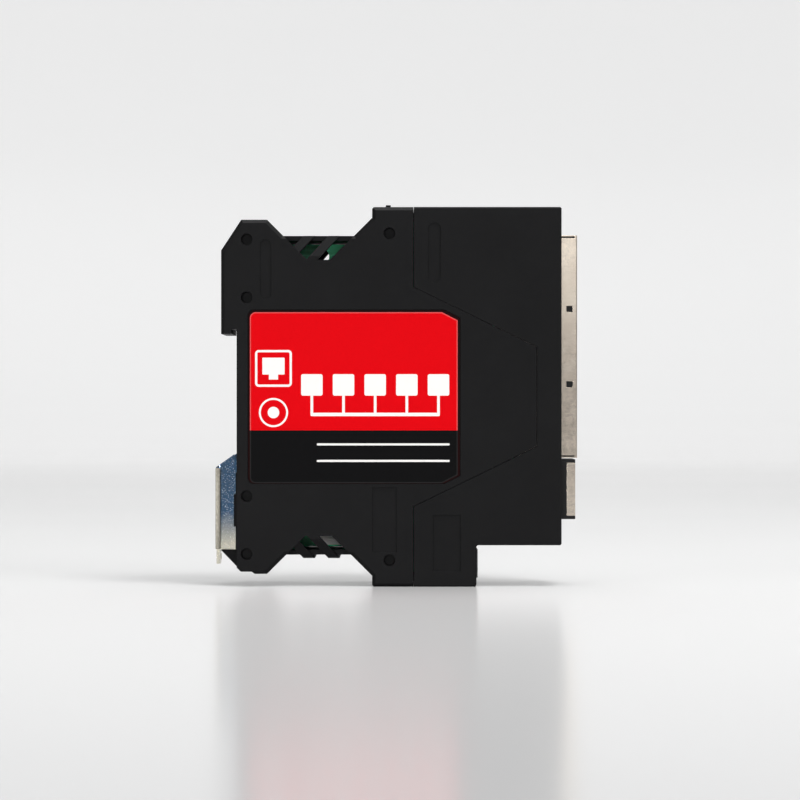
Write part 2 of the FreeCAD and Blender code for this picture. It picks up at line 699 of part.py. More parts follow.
def front_hood():
    """Hood over the front: one moulding, with windows for jacks and power header."""
    solid = prism_y(hood_outline(), -HALF_WIDTH, HALF_WIDTH)
    outside = [(FRONT_X, TOP_Z), (FRONT_X, BAY_Z), (BAY_X, BAY_Z), (BAY_X, BASE_Z)]
    bevelled = []
    for edge in solid.Edges:
        middle = edge.valueAt((edge.FirstParameter + edge.LastParameter) / 2)
        on_side = abs(abs(middle.y) - HALF_WIDTH) < 0.01
        on_run = middle.x > SPLIT_X + OVER and not abs(middle.z) < TONGUE_ROOT_Z
        at_front = abs(middle.x - FRONT_X) < 0.01
        if on_side and (on_run or at_front):
            bevelled.append(edge)
    solid = solid.makeChamfer(HOOD_BEVEL, bevelled + edges_at(solid, outside))
    inside = offset_prism_y(housing_outline(), -HOOD_EDGE_WALL, -HOOD_INNER_Y, HOOD_INNER_Y)
    jack_y = (JACK_NEAR_Y - JACK_PLAY, BOARD_Y + JACK_PLAY)
    jack_z = (SINGLE_BOTTOM_Z - JACK_PLAY, QUAD_TOP_Z + JACK_PLAY)
    jack_window = box((FRONT_X - HOOD_EDGE_WALL - OVER, FRONT_X + OVER), jack_y, jack_z)
    header_window = box(
        (BAY_X - HOOD_EDGE_WALL - OVER, BAY_X + OVER),
        (HEADER_Y - HEADER_WIDTH / 2 - HEADER_PLAY, HEADER_Y + HEADER_WIDTH / 2 + HEADER_PLAY),
        (HEADER_Z - HEADER_HEIGHT / 2 - HEADER_PLAY, HEADER_Z + HEADER_HEIGHT / 2 + HEADER_PLAY),
    )
    slot_top_z = TOP_Z - HOOD_SLOT_DROP
    slot_x = (HOOD_SLOT_X, HOOD_SLOT_X + HOOD_SLOT_WIDTH)
    slot = rounded_pocket(slot_x, (slot_top_z - HOOD_SLOT_LENGTH, slot_top_z), HOOD_SLOT_RADIUS)
    plate_z = BASE_Z + HOOD_PLATE_RISE
    plate_x = (HOOD_PLATE_X, HOOD_PLATE_X + HOOD_PLATE_WIDTH)
    plate = pocket_box(plate_x, (plate_z, plate_z + HOOD_PLATE_LENGTH))
    return cut_all(solid, [inside, jack_window, header_window, slot, plate])


def board_outline():
    """Outline of the circuit board, stepped to clear pins, waist and bay."""
    upper_waist_z = UPPER_WAIST_Z - EDGE_WALL - BOARD_PLAY
    lower_waist_z = LOWER_WAIST_Z - EDGE_WALL - BOARD_PLAY
    boss_room = PIN_BOSS_DIAMETER / 2 + BOARD_PLAY
    notch_x = FRONT_PIN_X - boss_room
    notch_z = min(upper_waist_z, FRONT_PIN_Z - boss_room)
    step_x = FRONT_PIN_X + boss_room
    front_x = FRONT_X - HOOD_EDGE_WALL - BOARD_PLAY
    upper_z = TOP_Z - HOOD_EDGE_WALL - LIP_THICKNESS - LIP_PLAY - BOARD_PLAY
    bay_x = BAY_X - HOOD_EDGE_WALL - BOARD_PLAY
    bay_z = BAY_Z + HOOD_EDGE_WALL + BOARD_PLAY
    return [
        (BOARD_REAR_X, upper_waist_z),
        (notch_x, upper_waist_z),
        (notch_x, notch_z),
        (step_x, notch_z),
        (step_x, upper_z),
        (front_x, upper_z),
        (front_x, bay_z),
        (bay_x, bay_z),
        (bay_x, -upper_z),
        (step_x, -upper_z),
        (step_x, -lower_waist_z),
        (BOARD_REAR_X, -lower_waist_z),
    ]


def board_pads():
    """Places where the far shell's pads carry the board."""
    rear_x = BOARD_REAR_X + BOARD_PAD_SIDE
    vent_z = UPPER_WAIST_Z - UPPER_VENT_DROP - BOARD_PAD_SIDE
    front_x = SPLIT_X + BOARD_PAD_SIDE
    corners = [(x, z) for x in (rear_x, SPLIT_X) for z in (vent_z, -vent_z)]
    return corners + [(front_x, 0.0)]


def circuit_board():
    """Glass-fibre board with its one open hole."""
    board = prism_y(board_outline(), BOARD_Y, BOARD_BACK_Y)
    hole_z = UPPER_WAIST_Z - BOARD_HOLE_DROP
    hole = rod_y(BOARD_HOLE_DIAMETER, BOARD_HOLE_X, hole_z, BOARD_Y - OVER, BOARD_BACK_Y + OVER)
    return board.cut(hole)


def foot_catch():
    """Stamped channel: web behind, two flanges with a nose each, lug, window and tab."""
    rear_x = -CATCH_STAND
    nose_x = -RAIL_LIP
    shoulder_z = CATCH_NOSE_Z - CATCH_LEAD_DROP
    flange = [
        (rear_x, shoulder_z),
        (nose_x, CATCH_NOSE_Z),
        (0.0, CATCH_SLOT_Z),
        (CATCH_REACH, CATCH_SLOT_Z),
        (CATCH_REACH, CATCH_INNER_BOTTOM_Z),
        (-CATCH_PLAY, CATCH_INNER_BOTTOM_Z),
        (-CATCH_PLAY, CATCH_BOTTOM_Z),
        (rear_x, CATCH_BOTTOM_Z),
    ]
    block = prism_y(flange, -CATCH_HALF, CATCH_HALF)
    bends = []
    for edge in block.Edges:
        ends = [vertex.Point for vertex in edge.Vertexes]
        behind = all(abs(end.x - rear_x) < 0.01 for end in ends)
        upright = abs(ends[0].y - ends[-1].y) < 0.01
        if behind and upright:
            bends.append(edge)
    block = block.makeFillet(CATCH_BEND, bends)
    inner_half = CATCH_HALF - CATCH_SHEET
    hollow = box((rear_x + CATCH_SHEET, CATCH_REACH + OVER), (-inner_half, inner_half), (BASE_Z, 0.0))
    boss_room = PIN_BOSS_DIAMETER / 2 + CATCH_PLAY
    slot_z = (-REAR_PIN_INNER_Z - boss_room, -REAR_PIN_INNER_Z + boss_room + CATCH_TRAVEL)
    slot_x = (REAR_PIN_X - boss_room, REAR_PIN_X + boss_room)
    slot = box(slot_x, (-CATCH_HALF - OVER, CATCH_HALF + OVER), slot_z)
    lug_half = CATCH_LUG_WIDTH / 2
    web_x = (rear_x - OVER, rear_x + CATCH_SHEET + OVER)
    window_z = (CATCH_LUG_Z - CATCH_SHEET - CATCH_WINDOW_HEIGHT, CATCH_LUG_Z - CATCH_SHEET)
    window = box(web_x, (-lug_half, lug_half), window_z)
    channel = cut_all(block, [hollow, slot, window])
    lug_x = (rear_x + CATCH_SHEET / 2, -CATCH_PLAY - CATCH_SHEET / 2)
    lug = box(lug_x, (-lug_half, lug_half), (CATCH_LUG_Z - CATCH_SHEET, CATCH_LUG_Z))
    tab_z = (CATCH_BOTTOM_Z - CATCH_TAB_LENGTH, CATCH_BOTTOM_Z + OVER)
    tab_half = CATCH_TAB_WIDTH / 2
    tab = box((rear_x, rear_x + CATCH_SHEET), (-tab_half, tab_half), tab_z)
    hole_half = CATCH_TAB_HOLE_WIDTH / 2
    hole_z = CATCH_BOTTOM_Z - CATCH_TAB_LENGTH + CATCH_SHEET
    hole = box(web_x, (-hole_half, hole_half), (hole_z, hole_z + CATCH_TAB_HOLE_HEIGHT))
    return cut_all(fuse_all([channel, lug, tab]), [hole])


def spring_height(turn, length):
    """Height of the wire's centre after a number of turns; the end turns lie closed."""
    closed = SPRING_WIRE + SPRING_CLOSE_GAP
    open_turns = SPRING_TURNS - 2
    pitch = (length - 2 * closed) / open_turns
    if turn <= 1:
        return closed * turn
    if turn >= SPRING_TURNS - 1:
        return length - closed * (SPRING_TURNS - turn)
    return closed + pitch * (turn - 1)


def spring_ring(turn, base, length):
    """Section of the spring's wire at one place along the coil."""
    angle = 2 * math.pi * turn
    radial = Vector(math.cos(angle), math.sin(angle), 0)
    radius = (SPRING_DIAMETER - SPRING_WIRE) / 2
    centre = base + radial * radius + Vector(0, 0, spring_height(turn, length))
    ring = []
    for side in range(SPRING_WIRE_SIDES):
        around = 2 * math.pi * side / SPRING_WIRE_SIDES
        outward = radial * math.cos(around) + Vector(0, 0, math.sin(around))
        ring.append(centre + outward * (SPRING_WIRE / 2))
    return ring


def catch_spring():
    """Wire compression spring between the ledge and the catch's lug."""
    bottom_z = CATCH_BOTTOM_Z - LEDGE_GAP + SPRING_SEAT_GAP
    top_z = CATCH_LUG_Z - CATCH_SHEET - SPRING_SEAT_GAP
    length = top_z - bottom_z - SPRING_WIRE
    axis_x = (-CATCH_STAND + CATCH_SHEET - CATCH_PLAY) / 2
    base = Vector(axis_x, 0, bottom_z + SPRING_WIRE / 2)
    count = SPRING_TURNS * SPRING_STEPS
    rings = [spring_ring(index / SPRING_STEPS, base, length) for index in range(count + 1)]
    faces = [face_of(rings[0]), face_of(rings[-1])]
    for ring, following in zip(rings, rings[1:]):
        for side in range(SPRING_WIRE_SIDES):
            after = (side + 1) % SPRING_WIRE_SIDES
            faces.append(face_of([ring[side], ring[after], following[after]]))
            faces.append(face_of([ring[side], following[after], following[side]]))
    shell = Part.makeShell(faces)
    shell.sewShape()
    return Part.makeSolid(shell)


def port_centres(top_z, width, count):
    """Heights of the port centres in a jack."""
    middle = top_z - width / 2
    first = middle + (count - 1) * JACK_PITCH / 2
    return [first - index * JACK_PITCH for index in range(count)]


def port_cavity(face_x, centre_z):
    """Room for one plug: the wide part and the two steps for its latch."""
    latch_y = PORT_NEAR_Y + PORT_HEIGHT
    x_range = (face_x - PORT_DEPTH, face_x + OVER)
    steps = [
        (PORT_WIDTH, PORT_NEAR_Y, latch_y),
        (LATCH_WIDTH, latch_y, latch_y + LATCH_HEIGHT),
        (LATCH_TIP_WIDTH, latch_y + LATCH_HEIGHT, latch_y + LATCH_HEIGHT + LATCH_TIP_HEIGHT),
    ]
    rooms = []
    for width, y_from, y_to in steps:
        rooms.append(box(x_range, (y_from, y_to), (centre_z - width / 2, centre_z + width / 2)))
    return fuse_all(rooms)


def led_boxes(face_x, centre_z, play):
    """Two small light windows beside the latch of one port."""
    middle_y = BOARD_Y - LED_HEIGHT
    y_range = (middle_y - LED_HEIGHT / 2 - play, middle_y + LED_HEIGHT / 2 + play)
    boxes = []
    for side in (-1, 1):
        z = centre_z + side * LED_SPACING / 2
        z_range = (z - LED_WIDTH / 2 - play, z + LED_WIDTH / 2 + play)
        boxes.append(box((face_x - LED_DEPTH - play, face_x + play), y_range, z_range))
    return boxes


def jack_body(face_x, top_z, width, count):
    """Moulded insulator of a jack, inside its shield."""
    back_x = face_x - JACK_DEPTH
    z_range = (top_z - width + SHIELD_SHEET, top_z - SHIELD_SHEET)
    y_range = (JACK_NEAR_Y + SHIELD_SHEET, BOARD_Y)
    block = box((back_x + SHIELD_SHEET, face_x - SHIELD_SHEET), y_range, z_range)
    rooms = []
    for centre_z in port_centres(top_z, width, count):
        rooms.append(port_cavity(face_x, centre_z))
        rooms.extend(led_boxes(face_x - SHIELD_SHEET, centre_z, LED_PLAY))
    return cut_all(block, rooms)


def single_jack_body():
    """Insulator of the single jack: bare ribs above and below its short shield."""
    face_x = JACK_FACE_X - SINGLE_SET_BACK
    body = jack_body(face_x, SINGLE_TOP_Z, SINGLE_WIDTH, 1)
    flush = []
    upper_z = (SINGLE_TOP_Z - SINGLE_SHIELD_RIB, SINGLE_TOP_Z)
    lower_z = (SINGLE_BOTTOM_Z, SINGLE_BOTTOM_Z + SINGLE_SHIELD_RIB)
    for rib_z in (upper_z, lower_z):
        flush.append(box((face_x - JACK_DEPTH, face_x), (JACK_NEAR_Y, BOARD_Y), rib_z))
    behind_x = (face_x - JACK_DEPTH, face_x - SINGLE_SHIELD_DEPTH)
    flush.append(box(behind_x, (JACK_NEAR_Y, BOARD_Y), (SINGLE_BOTTOM_Z, SINGLE_TOP_Z)))
    rooms = [port_cavity(face_x, z) for z in port_centres(SINGLE_TOP_Z, SINGLE_WIDTH, 1)]
    for centre_z in port_centres(SINGLE_TOP_Z, SINGLE_WIDTH, 1):
        rooms += led_boxes(face_x - SHIELD_SHEET, centre_z, LED_PLAY)
    return cut_all(fuse_all([body] + flush), rooms)


def shield_windows(face_x, top_z, width, count):
    """Openings of the shield's front: the ports and their lights."""
    windows = []
    for centre_z in port_centres(top_z, width, count):
        windows.append(port_cavity(face_x, centre_z))
        windows.extend(led_boxes(face_x, centre_z, LED_WINDOW_PLAY))
    return windows


def quad_jack_shield():
    """Folded sheet round the four-port jack, open towards the board."""
    z_range = (QUAD_BOTTOM_Z, QUAD_TOP_Z)
    inner_z = (QUAD_BOTTOM_Z + SHIELD_SHEET, QUAD_TOP_Z - SHIELD_SHEET)
    back_x = JACK_FACE_X - JACK_DEPTH
    sheet = box((back_x, JACK_FACE_X), (JACK_NEAR_Y, BOARD_Y), z_range)
    inner_x = (back_x + SHIELD_SHEET, JACK_FACE_X - SHIELD_SHEET)
    inner = box(inner_x, (JACK_NEAR_Y + SHIELD_SHEET, BOARD_Y + OVER), inner_z)
    front_edges = []
    for edge in sheet.Edges:
        ends = [vertex.Point for vertex in edge.Vertexes]
        if all(abs(end.x - JACK_FACE_X) < 0.01 and abs(end.y - JACK_NEAR_Y) < 0.01 for end in ends):
            front_edges.append(edge)
    sheet = sheet.makeFillet(SHIELD_FOLD / 2, front_edges)
    hole_x = JACK_FACE_X - SHIELD_HOLE_SET_BACK
    middle_z = (QUAD_TOP_Z + QUAD_BOTTOM_Z) / 2
    half = SHIELD_HOLE / 2
    near_y = (JACK_NEAR_Y - OVER, JACK_NEAR_Y + SHIELD_SHEET)
    seam_x = (back_x + SHIELD_SHEET, JACK_FACE_X - SHIELD_FOLD)
    holes = []
    for side in (-1, 1):
        z = middle_z + side * SHIELD_HOLE_SPACING / 2
        holes.append(box((hole_x - half, hole_x + half), near_y, (z - half, z + half)))
        seam_z = middle_z + side * (QUAD_WIDTH / 2 - SHIELD_SHEET - SHIELD_SEAM / 2)
        holes.append(box(seam_x, near_y, (seam_z - SHIELD_SEAM / 2, seam_z + SHIELD_SEAM / 2)))
    return cut_all(sheet, [inner] + holes + shield_windows(JACK_FACE_X, QUAD_TOP_Z, QUAD_WIDTH, QUAD_COUNT))


def single_jack_shield():
    """Short folded sheet over the front of the single jack."""
    face_x = JACK_FACE_X - SINGLE_SET_BACK
    z_range = (SINGLE_BOTTOM_Z + SINGLE_SHIELD_RIB, SINGLE_TOP_Z - SINGLE_SHIELD_RIB)
    sheet = box((face_x - SINGLE_SHIELD_DEPTH, face_x), (JACK_NEAR_Y, BOARD_Y), z_range)
    inner_x = (face_x - SINGLE_SHIELD_DEPTH - OVER, face_x - SHIELD_SHEET)
    inner = box(inner_x, (JACK_NEAR_Y + SHIELD_SHEET, BOARD_Y + OVER), z_range)
    return cut_all(sheet, [inner] + shield_windows(face_x, SINGLE_TOP_Z, SINGLE_WIDTH, 1))


def jack_contacts(face_x, top_z, width, count):
    """Eight spring contacts in each port, slanting back from its near wall."""
    start_x = face_x - CONTACT_START
    end_x = start_x - CONTACT_LENGTH
    tip_y = PORT_NEAR_Y + CONTACT_DROP
    strip = [
        (start_x, PORT_NEAR_Y),
        (start_x - CONTACT_THICKNESS * 2, PORT_NEAR_Y),
        (end_x, tip_y - CONTACT_THICKNESS),
        (end_x - OVER, tip_y - CONTACT_THICKNESS),
        (end_x - OVER, tip_y),
        (end_x, tip_y),
    ]
    contacts = []
    for centre_z in port_centres(top_z, width, count):
        first_z = centre_z - (CONTACT_COUNT - 1) * CONTACT_PITCH / 2
        for index in range(CONTACT_COUNT):
            z = first_z + index * CONTACT_PITCH
            contacts.append(prism_z(strip, z - CONTACT_WIDTH / 2, z + CONTACT_WIDTH / 2))
    return Part.makeCompound(contacts)


def jack_lights(face_x, top_z, width, count):
    """Light windows of a jack, two to a port."""
    lights = []
    for centre_z in port_centres(top_z, width, count):
        lights.extend(led_boxes(face_x - SHIELD_SHEET, centre_z, 0.0))
    return Part.makeCompound(lights)


def power_header():
    """Shrouded header with one chamber, standing on its side on the board."""
    half_y = HEADER_WIDTH / 2
    half_z = HEADER_HEIGHT / 2
    y_range = (HEADER_Y - half_y, HEADER_Y + half_y)
    block = box((HEADER_BACK_X, HEADER_FACE_X), y_range, (HEADER_Z - half_z, HEADER_Z + half_z))
    inner_y = (y_range[0] + HEADER_WALL, y_range[1] - HEADER_WALL)
    inner_z = (HEADER_Z - half_z + HEADER_WALL, HEADER_Z + half_z - HEADER_WALL)
    chamber = box((HEADER_BACK_X + HEADER_FLOOR, HEADER_FACE_X + OVER), inner_y, inner_z)
    holes = [header_pin_blade(y) for y in header_pin_places()]
    return cut_all(block, [chamber] + holes)


def header_pin_places():
    """Y of each pin of the power header."""
    first = HEADER_Y - (HEADER_WAYS - 1) * HEADER_PITCH / 2
    return [first + index * HEADER_PITCH for index in range(HEADER_WAYS)]


def header_pin_blade(y):
    """Straight part of one header pin, from behind the header into its chamber."""
    half = HEADER_PIN / 2
    index = header_pin_places().index(y)
    tail_x = HEADER_BACK_X - HEADER_TAIL - (HEADER_WAYS - 1 - index) * HEADER_TAIL_STEP
    x_range = (tail_x - half, HEADER_BACK_X + HEADER_FLOOR + HEADER_PIN_REACH)
    return box(x_range, (y - half, y + half), (HEADER_Z - half, HEADER_Z + half))


def power_header_pins():
    """Three square pins, each turned at its own place down to the board."""
    half = HEADER_PIN / 2
    pins = []
    for y in header_pin_places():
        blade = header_pin_blade(y)
        tail_x = blade.BoundBox.XMin
        tail = box((tail_x, tail_x + HEADER_PIN), (y - half, BOARD_Y), (HEADER_Z - half, HEADER_Z + half))
        pins.append(blade.fuse(tail).removeSplitter())
    return Part.makeCompound(pins)


def on_board(x, z, length, width, rise):
    """Block that stands on the board's near face, centred at (x, z)."""
    x_range = (x - length / 2, x + length / 2)
    return box(x_range, (BOARD_Y - rise, BOARD_Y), (z - width / 2, z + width / 2))


def bevelled_block(x, z, length, width, rise, bevel):
    """Moulded package on the board with its free edges taken off."""
    block = on_board(x, z, length, width, rise)
    free = []
    for edge in block.Edges:
        if all(vertex.Y < BOARD_Y - rise + 0.01 for vertex in edge.Vertexes):
            free.append(edge)
    return block.makeChamfer(bevel, free)


def lead_rows(x, z, length, width, count, pitch, lead_width):
    """Two rows of leads beyond the package's long sides, seated on the board."""
    leads = []
    for index in range(count):
        along = z + (index - (count - 1) / 2) * pitch
        for side in (-1, 1):
            centre_x = x + side * (length + CHIP_LEAD_REACH) / 2
            leads.append(on_board(centre_x, along, CHIP_LEAD_REACH, lead_width, CHIP_LEAD_RISE))
    return leads


def leaded_package(x, z, length, width, rise, count, pitch):
    """Package with a row of leads on two sides, one solid."""
    body = bevelled_block(x, z, length, width, rise, CHIP_BEVEL)
    return fuse_all([body] + lead_rows(x, z, length, width, count, pitch, pitch / 2))


def switch_chip():
    """Square package of the switch."""
    side = SWITCH_CHIP_SIDE
    return bevelled_block(SWITCH_CHIP_X, SWITCH_CHIP_Z, side, side, SWITCH_CHIP_RISE, CHIP_BEVEL)


def switch_chip_leads():
    """Leads on the four sides of the switch package."""
    upright = lead_rows(
        SWITCH_CHIP_X,
        SWITCH_CHIP_Z,
        SWITCH_CHIP_SIDE,
        SWITCH_CHIP_SIDE,
        SWITCH_LEAD_COUNT,
        SWITCH_LEAD_PITCH,
        SWITCH_LEAD_PITCH / 2,
    )
    centre = Vector(SWITCH_CHIP_X, 0, SWITCH_CHIP_Z)
    turned = [lead.rotated(centre, Vector(0, 1, 0), 90) for lead in upright]
    return Part.makeCompound(upright + turned)


def port_transformer(index):
    """Isolating transformer of one port, level with it."""
    heights = port_centres(QUAD_TOP_Z, QUAD_WIDTH, QUAD_COUNT) + port_centres(SINGLE_TOP_Z, SINGLE_WIDTH, 1)
    x = JACK_FACE_X - JACK_DEPTH - TRANSFORMER_GAP - TRANSFORMER_LENGTH / 2
    pitch = TRANSFORMER_WIDTH / (TRANSFORMER_LEAD_COUNT + 1)
    size = (TRANSFORMER_LENGTH, TRANSFORMER_WIDTH, TRANSFORMER_RISE)
    return leaded_package(x, heights[index], *size, TRANSFORMER_LEAD_COUNT, pitch)


def can_capacitor(x, z, diameter, rise):
    """Aluminium can on its square base, rolled in near the foot."""
    base_side = diameter + 2 * CAN_BASE_MARGIN
    base = on_board(x, z, base_side, base_side, CAN_BASE_RISE)
    radius = diameter / 2
    profile = [
        Vector(0, 0, 0),
        Vector(radius, 0, 0),
        Vector(radius, -CAN_GROOVE_START, 0),
        Vector(radius - CAN_GROOVE_DEPTH, -CAN_GROOVE_START - CAN_GROOVE_HEIGHT / 2, 0),
        Vector(radius, -CAN_GROOVE_START - CAN_GROOVE_HEIGHT, 0),
        Vector(radius, -rise + CAN_TOP_BEVEL, 0),
        Vector(radius - CAN_TOP_BEVEL, -rise, 0),
        Vector(0, -rise, 0),
    ]
    can = face_of(profile).revolve(Vector(0, 0, 0), Vector(0, 1, 0), 360)
    can.translate(Vector(x, BOARD_Y - CAN_BASE_RISE, z))
    return base.fuse(can)


def crystal():
    """Low metal can of the clock crystal, with round ends and a rim."""
    rim = on_board(CRYSTAL_X, CRYSTAL_Z, CRYSTAL_LENGTH, CRYSTAL_WIDTH, CRYSTAL_RIM_RISE)
    can_length = CRYSTAL_LENGTH - 2 * CRYSTAL_RIM
    can_width = CRYSTAL_WIDTH - 2 * CRYSTAL_RIM
    can = on_board(CRYSTAL_X, CRYSTAL_Z, can_length, can_width, CRYSTAL_RISE)
    parts = []
    for block, width in ((rim, CRYSTAL_WIDTH), (can, can_width)):
        upright = [edge for edge in block.Edges if abs(edge.Vertexes[0].Y - edge.Vertexes[-1].Y) > 0.1]
        parts.append(block.makeFillet(width / 2 - CRYSTAL_CORNER_ROOM, upright))
    return fuse_all(parts)


def chip_group(places, length, width, rise):
    """Like small parts at several places on the board."""
    return Part.makeCompound([on_board(x, z, length, width, rise) for x, z in places])


def around_switch(distance):
    """Places in two columns beside the switch package."""
    places = []
    for index in range(SMALL_PART_ROW_COUNT):
        z = SWITCH_CHIP_Z + (index - (SMALL_PART_ROW_COUNT - 1) / 2) * SMALL_PART_PITCH
        for side in (-1, 1):
            places.append((SWITCH_CHIP_X + side * (SWITCH_CHIP_SIDE / 2 + distance), z))
    return places


def supply_column():
    """Fuse, diode and surge suppressor, one above the other."""
    fuse_z = REGULATOR_Z - PART_GAP * 3
    diode_z = fuse_z + FUSE_WIDTH / 2 + SUPPLY_GAP + DIODE_WIDTH / 2
    suppressor_z = diode_z + DIODE_WIDTH / 2 + SUPPLY_GAP + SUPPRESSOR_WIDTH / 2
    return {
        "input_fuse": bevelled_block(SUPPLY_X, fuse_z, FUSE_LENGTH, FUSE_WIDTH, FUSE_RISE, CHIP_BEVEL),
        "input_diode": bevelled_block(SUPPLY_X, diode_z, DIODE_LENGTH, DIODE_WIDTH, DIODE_RISE, CHIP_BEVEL),
        "surge_suppressor": bevelled_block(
            SUPPLY_X, suppressor_z, SUPPRESSOR_LENGTH, SUPPRESSOR_WIDTH, SUPPRESSOR_RISE, CHIP_BEVEL
        ),
    }


def small_chip(x, z):
    """Eight-lead package of the setup memory and the regulator."""
    size = (SMALL_CHIP_LENGTH, SMALL_CHIP_WIDTH, SMALL_CHIP_RISE)
    return leaded_package(x, z, *size, SMALL_CHIP_LEAD_COUNT, SMALL_CHIP_LEAD_PITCH)


def pieces():
    """Every piece of the switch by the name of its node."""
    single_face_x = JACK_FACE_X - SINGLE_SET_BACK
    quad = (JACK_FACE_X, QUAD_TOP_Z, QUAD_WIDTH, QUAD_COUNT)
    single = (single_face_x, SINGLE_TOP_Z, SINGLE_WIDTH, 1)
    resistors_x = SWITCH_CHIP_X - SWITCH_CHIP_SIDE / 2 - RESISTOR_DISTANCE
    memory_x = resistors_x - PART_GAP - CHIP_LEAD_REACH - SMALL_CHIP_LENGTH / 2
    output_z = REGULATOR_Z + SMALL_CHIP_WIDTH / 2 + PART_GAP + OUTPUT_CASE_WIDTH / 2
    built = {
        "near_shell": near_shell(),
        "far_shell": far_shell(),
        "front_hood": front_hood(),
        "side_label": side_label(),
        "foot_catch": foot_catch(),
        "catch_spring": catch_spring(),
        "circuit_board": circuit_board(),
        "quad_jack_shield": quad_jack_shield(),
        "quad_jack_body": jack_body(*quad),
        "quad_jack_contacts": jack_contacts(*quad),
        "quad_jack_lights": jack_lights(*quad),
        "single_jack_shield": single_jack_shield(),
        "single_jack_body": single_jack_body(),
        "single_jack_contacts": jack_contacts(*single),
        "single_jack_lights": jack_lights(*single),
        "power_header": power_header(),
        "power_header_pins": power_header_pins(),
        "switch_chip": switch_chip(),
        "switch_chip_leads": switch_chip_leads(),
        "clock_crystal": crystal(),
        "setup_memory": small_chip(memory_x, SWITCH_CHIP_Z + MEMORY_RISE),
        "voltage_regulator": small_chip(REGULATOR_X, REGULATOR_Z),
        "power_inductor": bevelled_block(
            INDUCTOR_X, REGULATOR_Z, INDUCTOR_SIDE, INDUCTOR_SIDE, INDUCTOR_RISE, INDUCTOR_BEVEL
        ),
        "input_capacitor": can_capacitor(INPUT_CAN_X, REGULATOR_Z, INPUT_CAN_DIAMETER, INPUT_CAN_RISE),
        "output_capacitor": bevelled_block(
            REGULATOR_X, output_z, OUTPUT_CASE_LENGTH, OUTPUT_CASE_WIDTH, OUTPUT_CASE_RISE, CHIP_BEVEL
        ),
        "ceramic_capacitors": chip_group(
            around_switch(CERAMIC_DISTANCE), CERAMIC_LENGTH, CERAMIC_WIDTH, CERAMIC_RISE
        ),
        "chip_resistors": chip_group(
            around_switch(RESISTOR_DISTANCE), RESISTOR_LENGTH, RESISTOR_WIDTH, RESISTOR_RISE
        ),
    }
    built.update(supply_column())
    for index in range(QUAD_COUNT + 1):
        built[f"port_transformer_{index + 1}"] = port_transformer(index)
    return built


os.makedirs("parts", exist_ok=True)
for node, shape in pieces().items():
    shape.exportStep(f"parts/{node}.step")
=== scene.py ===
"""Looks of a five-port rail-mounted Ethernet switch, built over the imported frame.

Metres, +Z up. X=0 is the rail's front plane, +X points to the ports and the labelled
side is at -Y, where the camera stands.
"""

import json
import logging
import math
from collections.abc import Iterable
from dataclasses import dataclass, field
from enum import Enum

import bpy
import numpy as np
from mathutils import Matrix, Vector

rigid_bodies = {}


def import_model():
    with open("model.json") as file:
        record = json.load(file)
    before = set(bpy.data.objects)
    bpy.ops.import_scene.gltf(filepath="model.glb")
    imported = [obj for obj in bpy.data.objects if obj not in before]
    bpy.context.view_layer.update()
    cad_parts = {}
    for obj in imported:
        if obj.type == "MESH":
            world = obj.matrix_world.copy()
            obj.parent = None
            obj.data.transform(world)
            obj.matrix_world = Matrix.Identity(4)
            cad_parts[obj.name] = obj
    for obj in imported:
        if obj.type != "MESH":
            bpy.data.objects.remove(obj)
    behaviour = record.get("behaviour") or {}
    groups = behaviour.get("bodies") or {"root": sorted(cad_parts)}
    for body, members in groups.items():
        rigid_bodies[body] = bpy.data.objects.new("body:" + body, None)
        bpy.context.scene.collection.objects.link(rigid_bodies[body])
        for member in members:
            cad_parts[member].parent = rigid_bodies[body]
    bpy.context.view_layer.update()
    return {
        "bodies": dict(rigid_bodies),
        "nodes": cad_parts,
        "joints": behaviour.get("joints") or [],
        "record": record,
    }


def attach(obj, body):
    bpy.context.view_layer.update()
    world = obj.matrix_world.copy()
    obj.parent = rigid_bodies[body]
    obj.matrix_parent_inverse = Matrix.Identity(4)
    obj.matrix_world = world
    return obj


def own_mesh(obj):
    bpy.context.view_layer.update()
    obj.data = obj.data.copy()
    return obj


log = logging.getLogger("rail_switch")

MM = 0.001
PICTURE_SIDE = 800
SENSOR_MM = 36.0

FALLING = {"To Min": 1.0, "To Max": 0.0}
EDGE_SAMPLES = 6


# Colours and nodes

def linear(hex_colour: str) -> tuple[float, float, float, float]:
    """Turns an sRGB hex colour into the linear values that shaders read.

    Each channel c from 0 to 1 becomes c / 12.92 below 0.04045 and ((c + 0.055) / 1.055) ** 2.4 above.

    Args:
        hex_colour: six hex digits, with or without the hash.

    Returns:
        Linear red, green and blue, and an alpha of one.
    """
    digits = hex_colour.lstrip("#")
    channels = np.array([int(digits[i:i + 2], 16) for i in (0, 2, 4)]) / 255.0
    lit = np.where(channels <= 0.04045, channels / 12.92, ((channels + 0.055) / 1.055) ** 2.4)
    return (float(lit[0]), float(lit[1]), float(lit[2]), 1.0)


def per_metre(size_mm: float) -> float:
    """Returns the texture scale, in repeats a metre, of a pattern whose feature is size_mm wide."""
    return 1.0 / (size_mm * MM)


def in_use(sockets: Iterable[bpy.types.NodeSocket], name: str = "") -> bpy.types.NodeSocket:
    """Returns the first socket that the node's settings leave in use, of that name if one is given."""
    return next(socket for socket in sockets if socket.enabled and name in ("", socket.name))


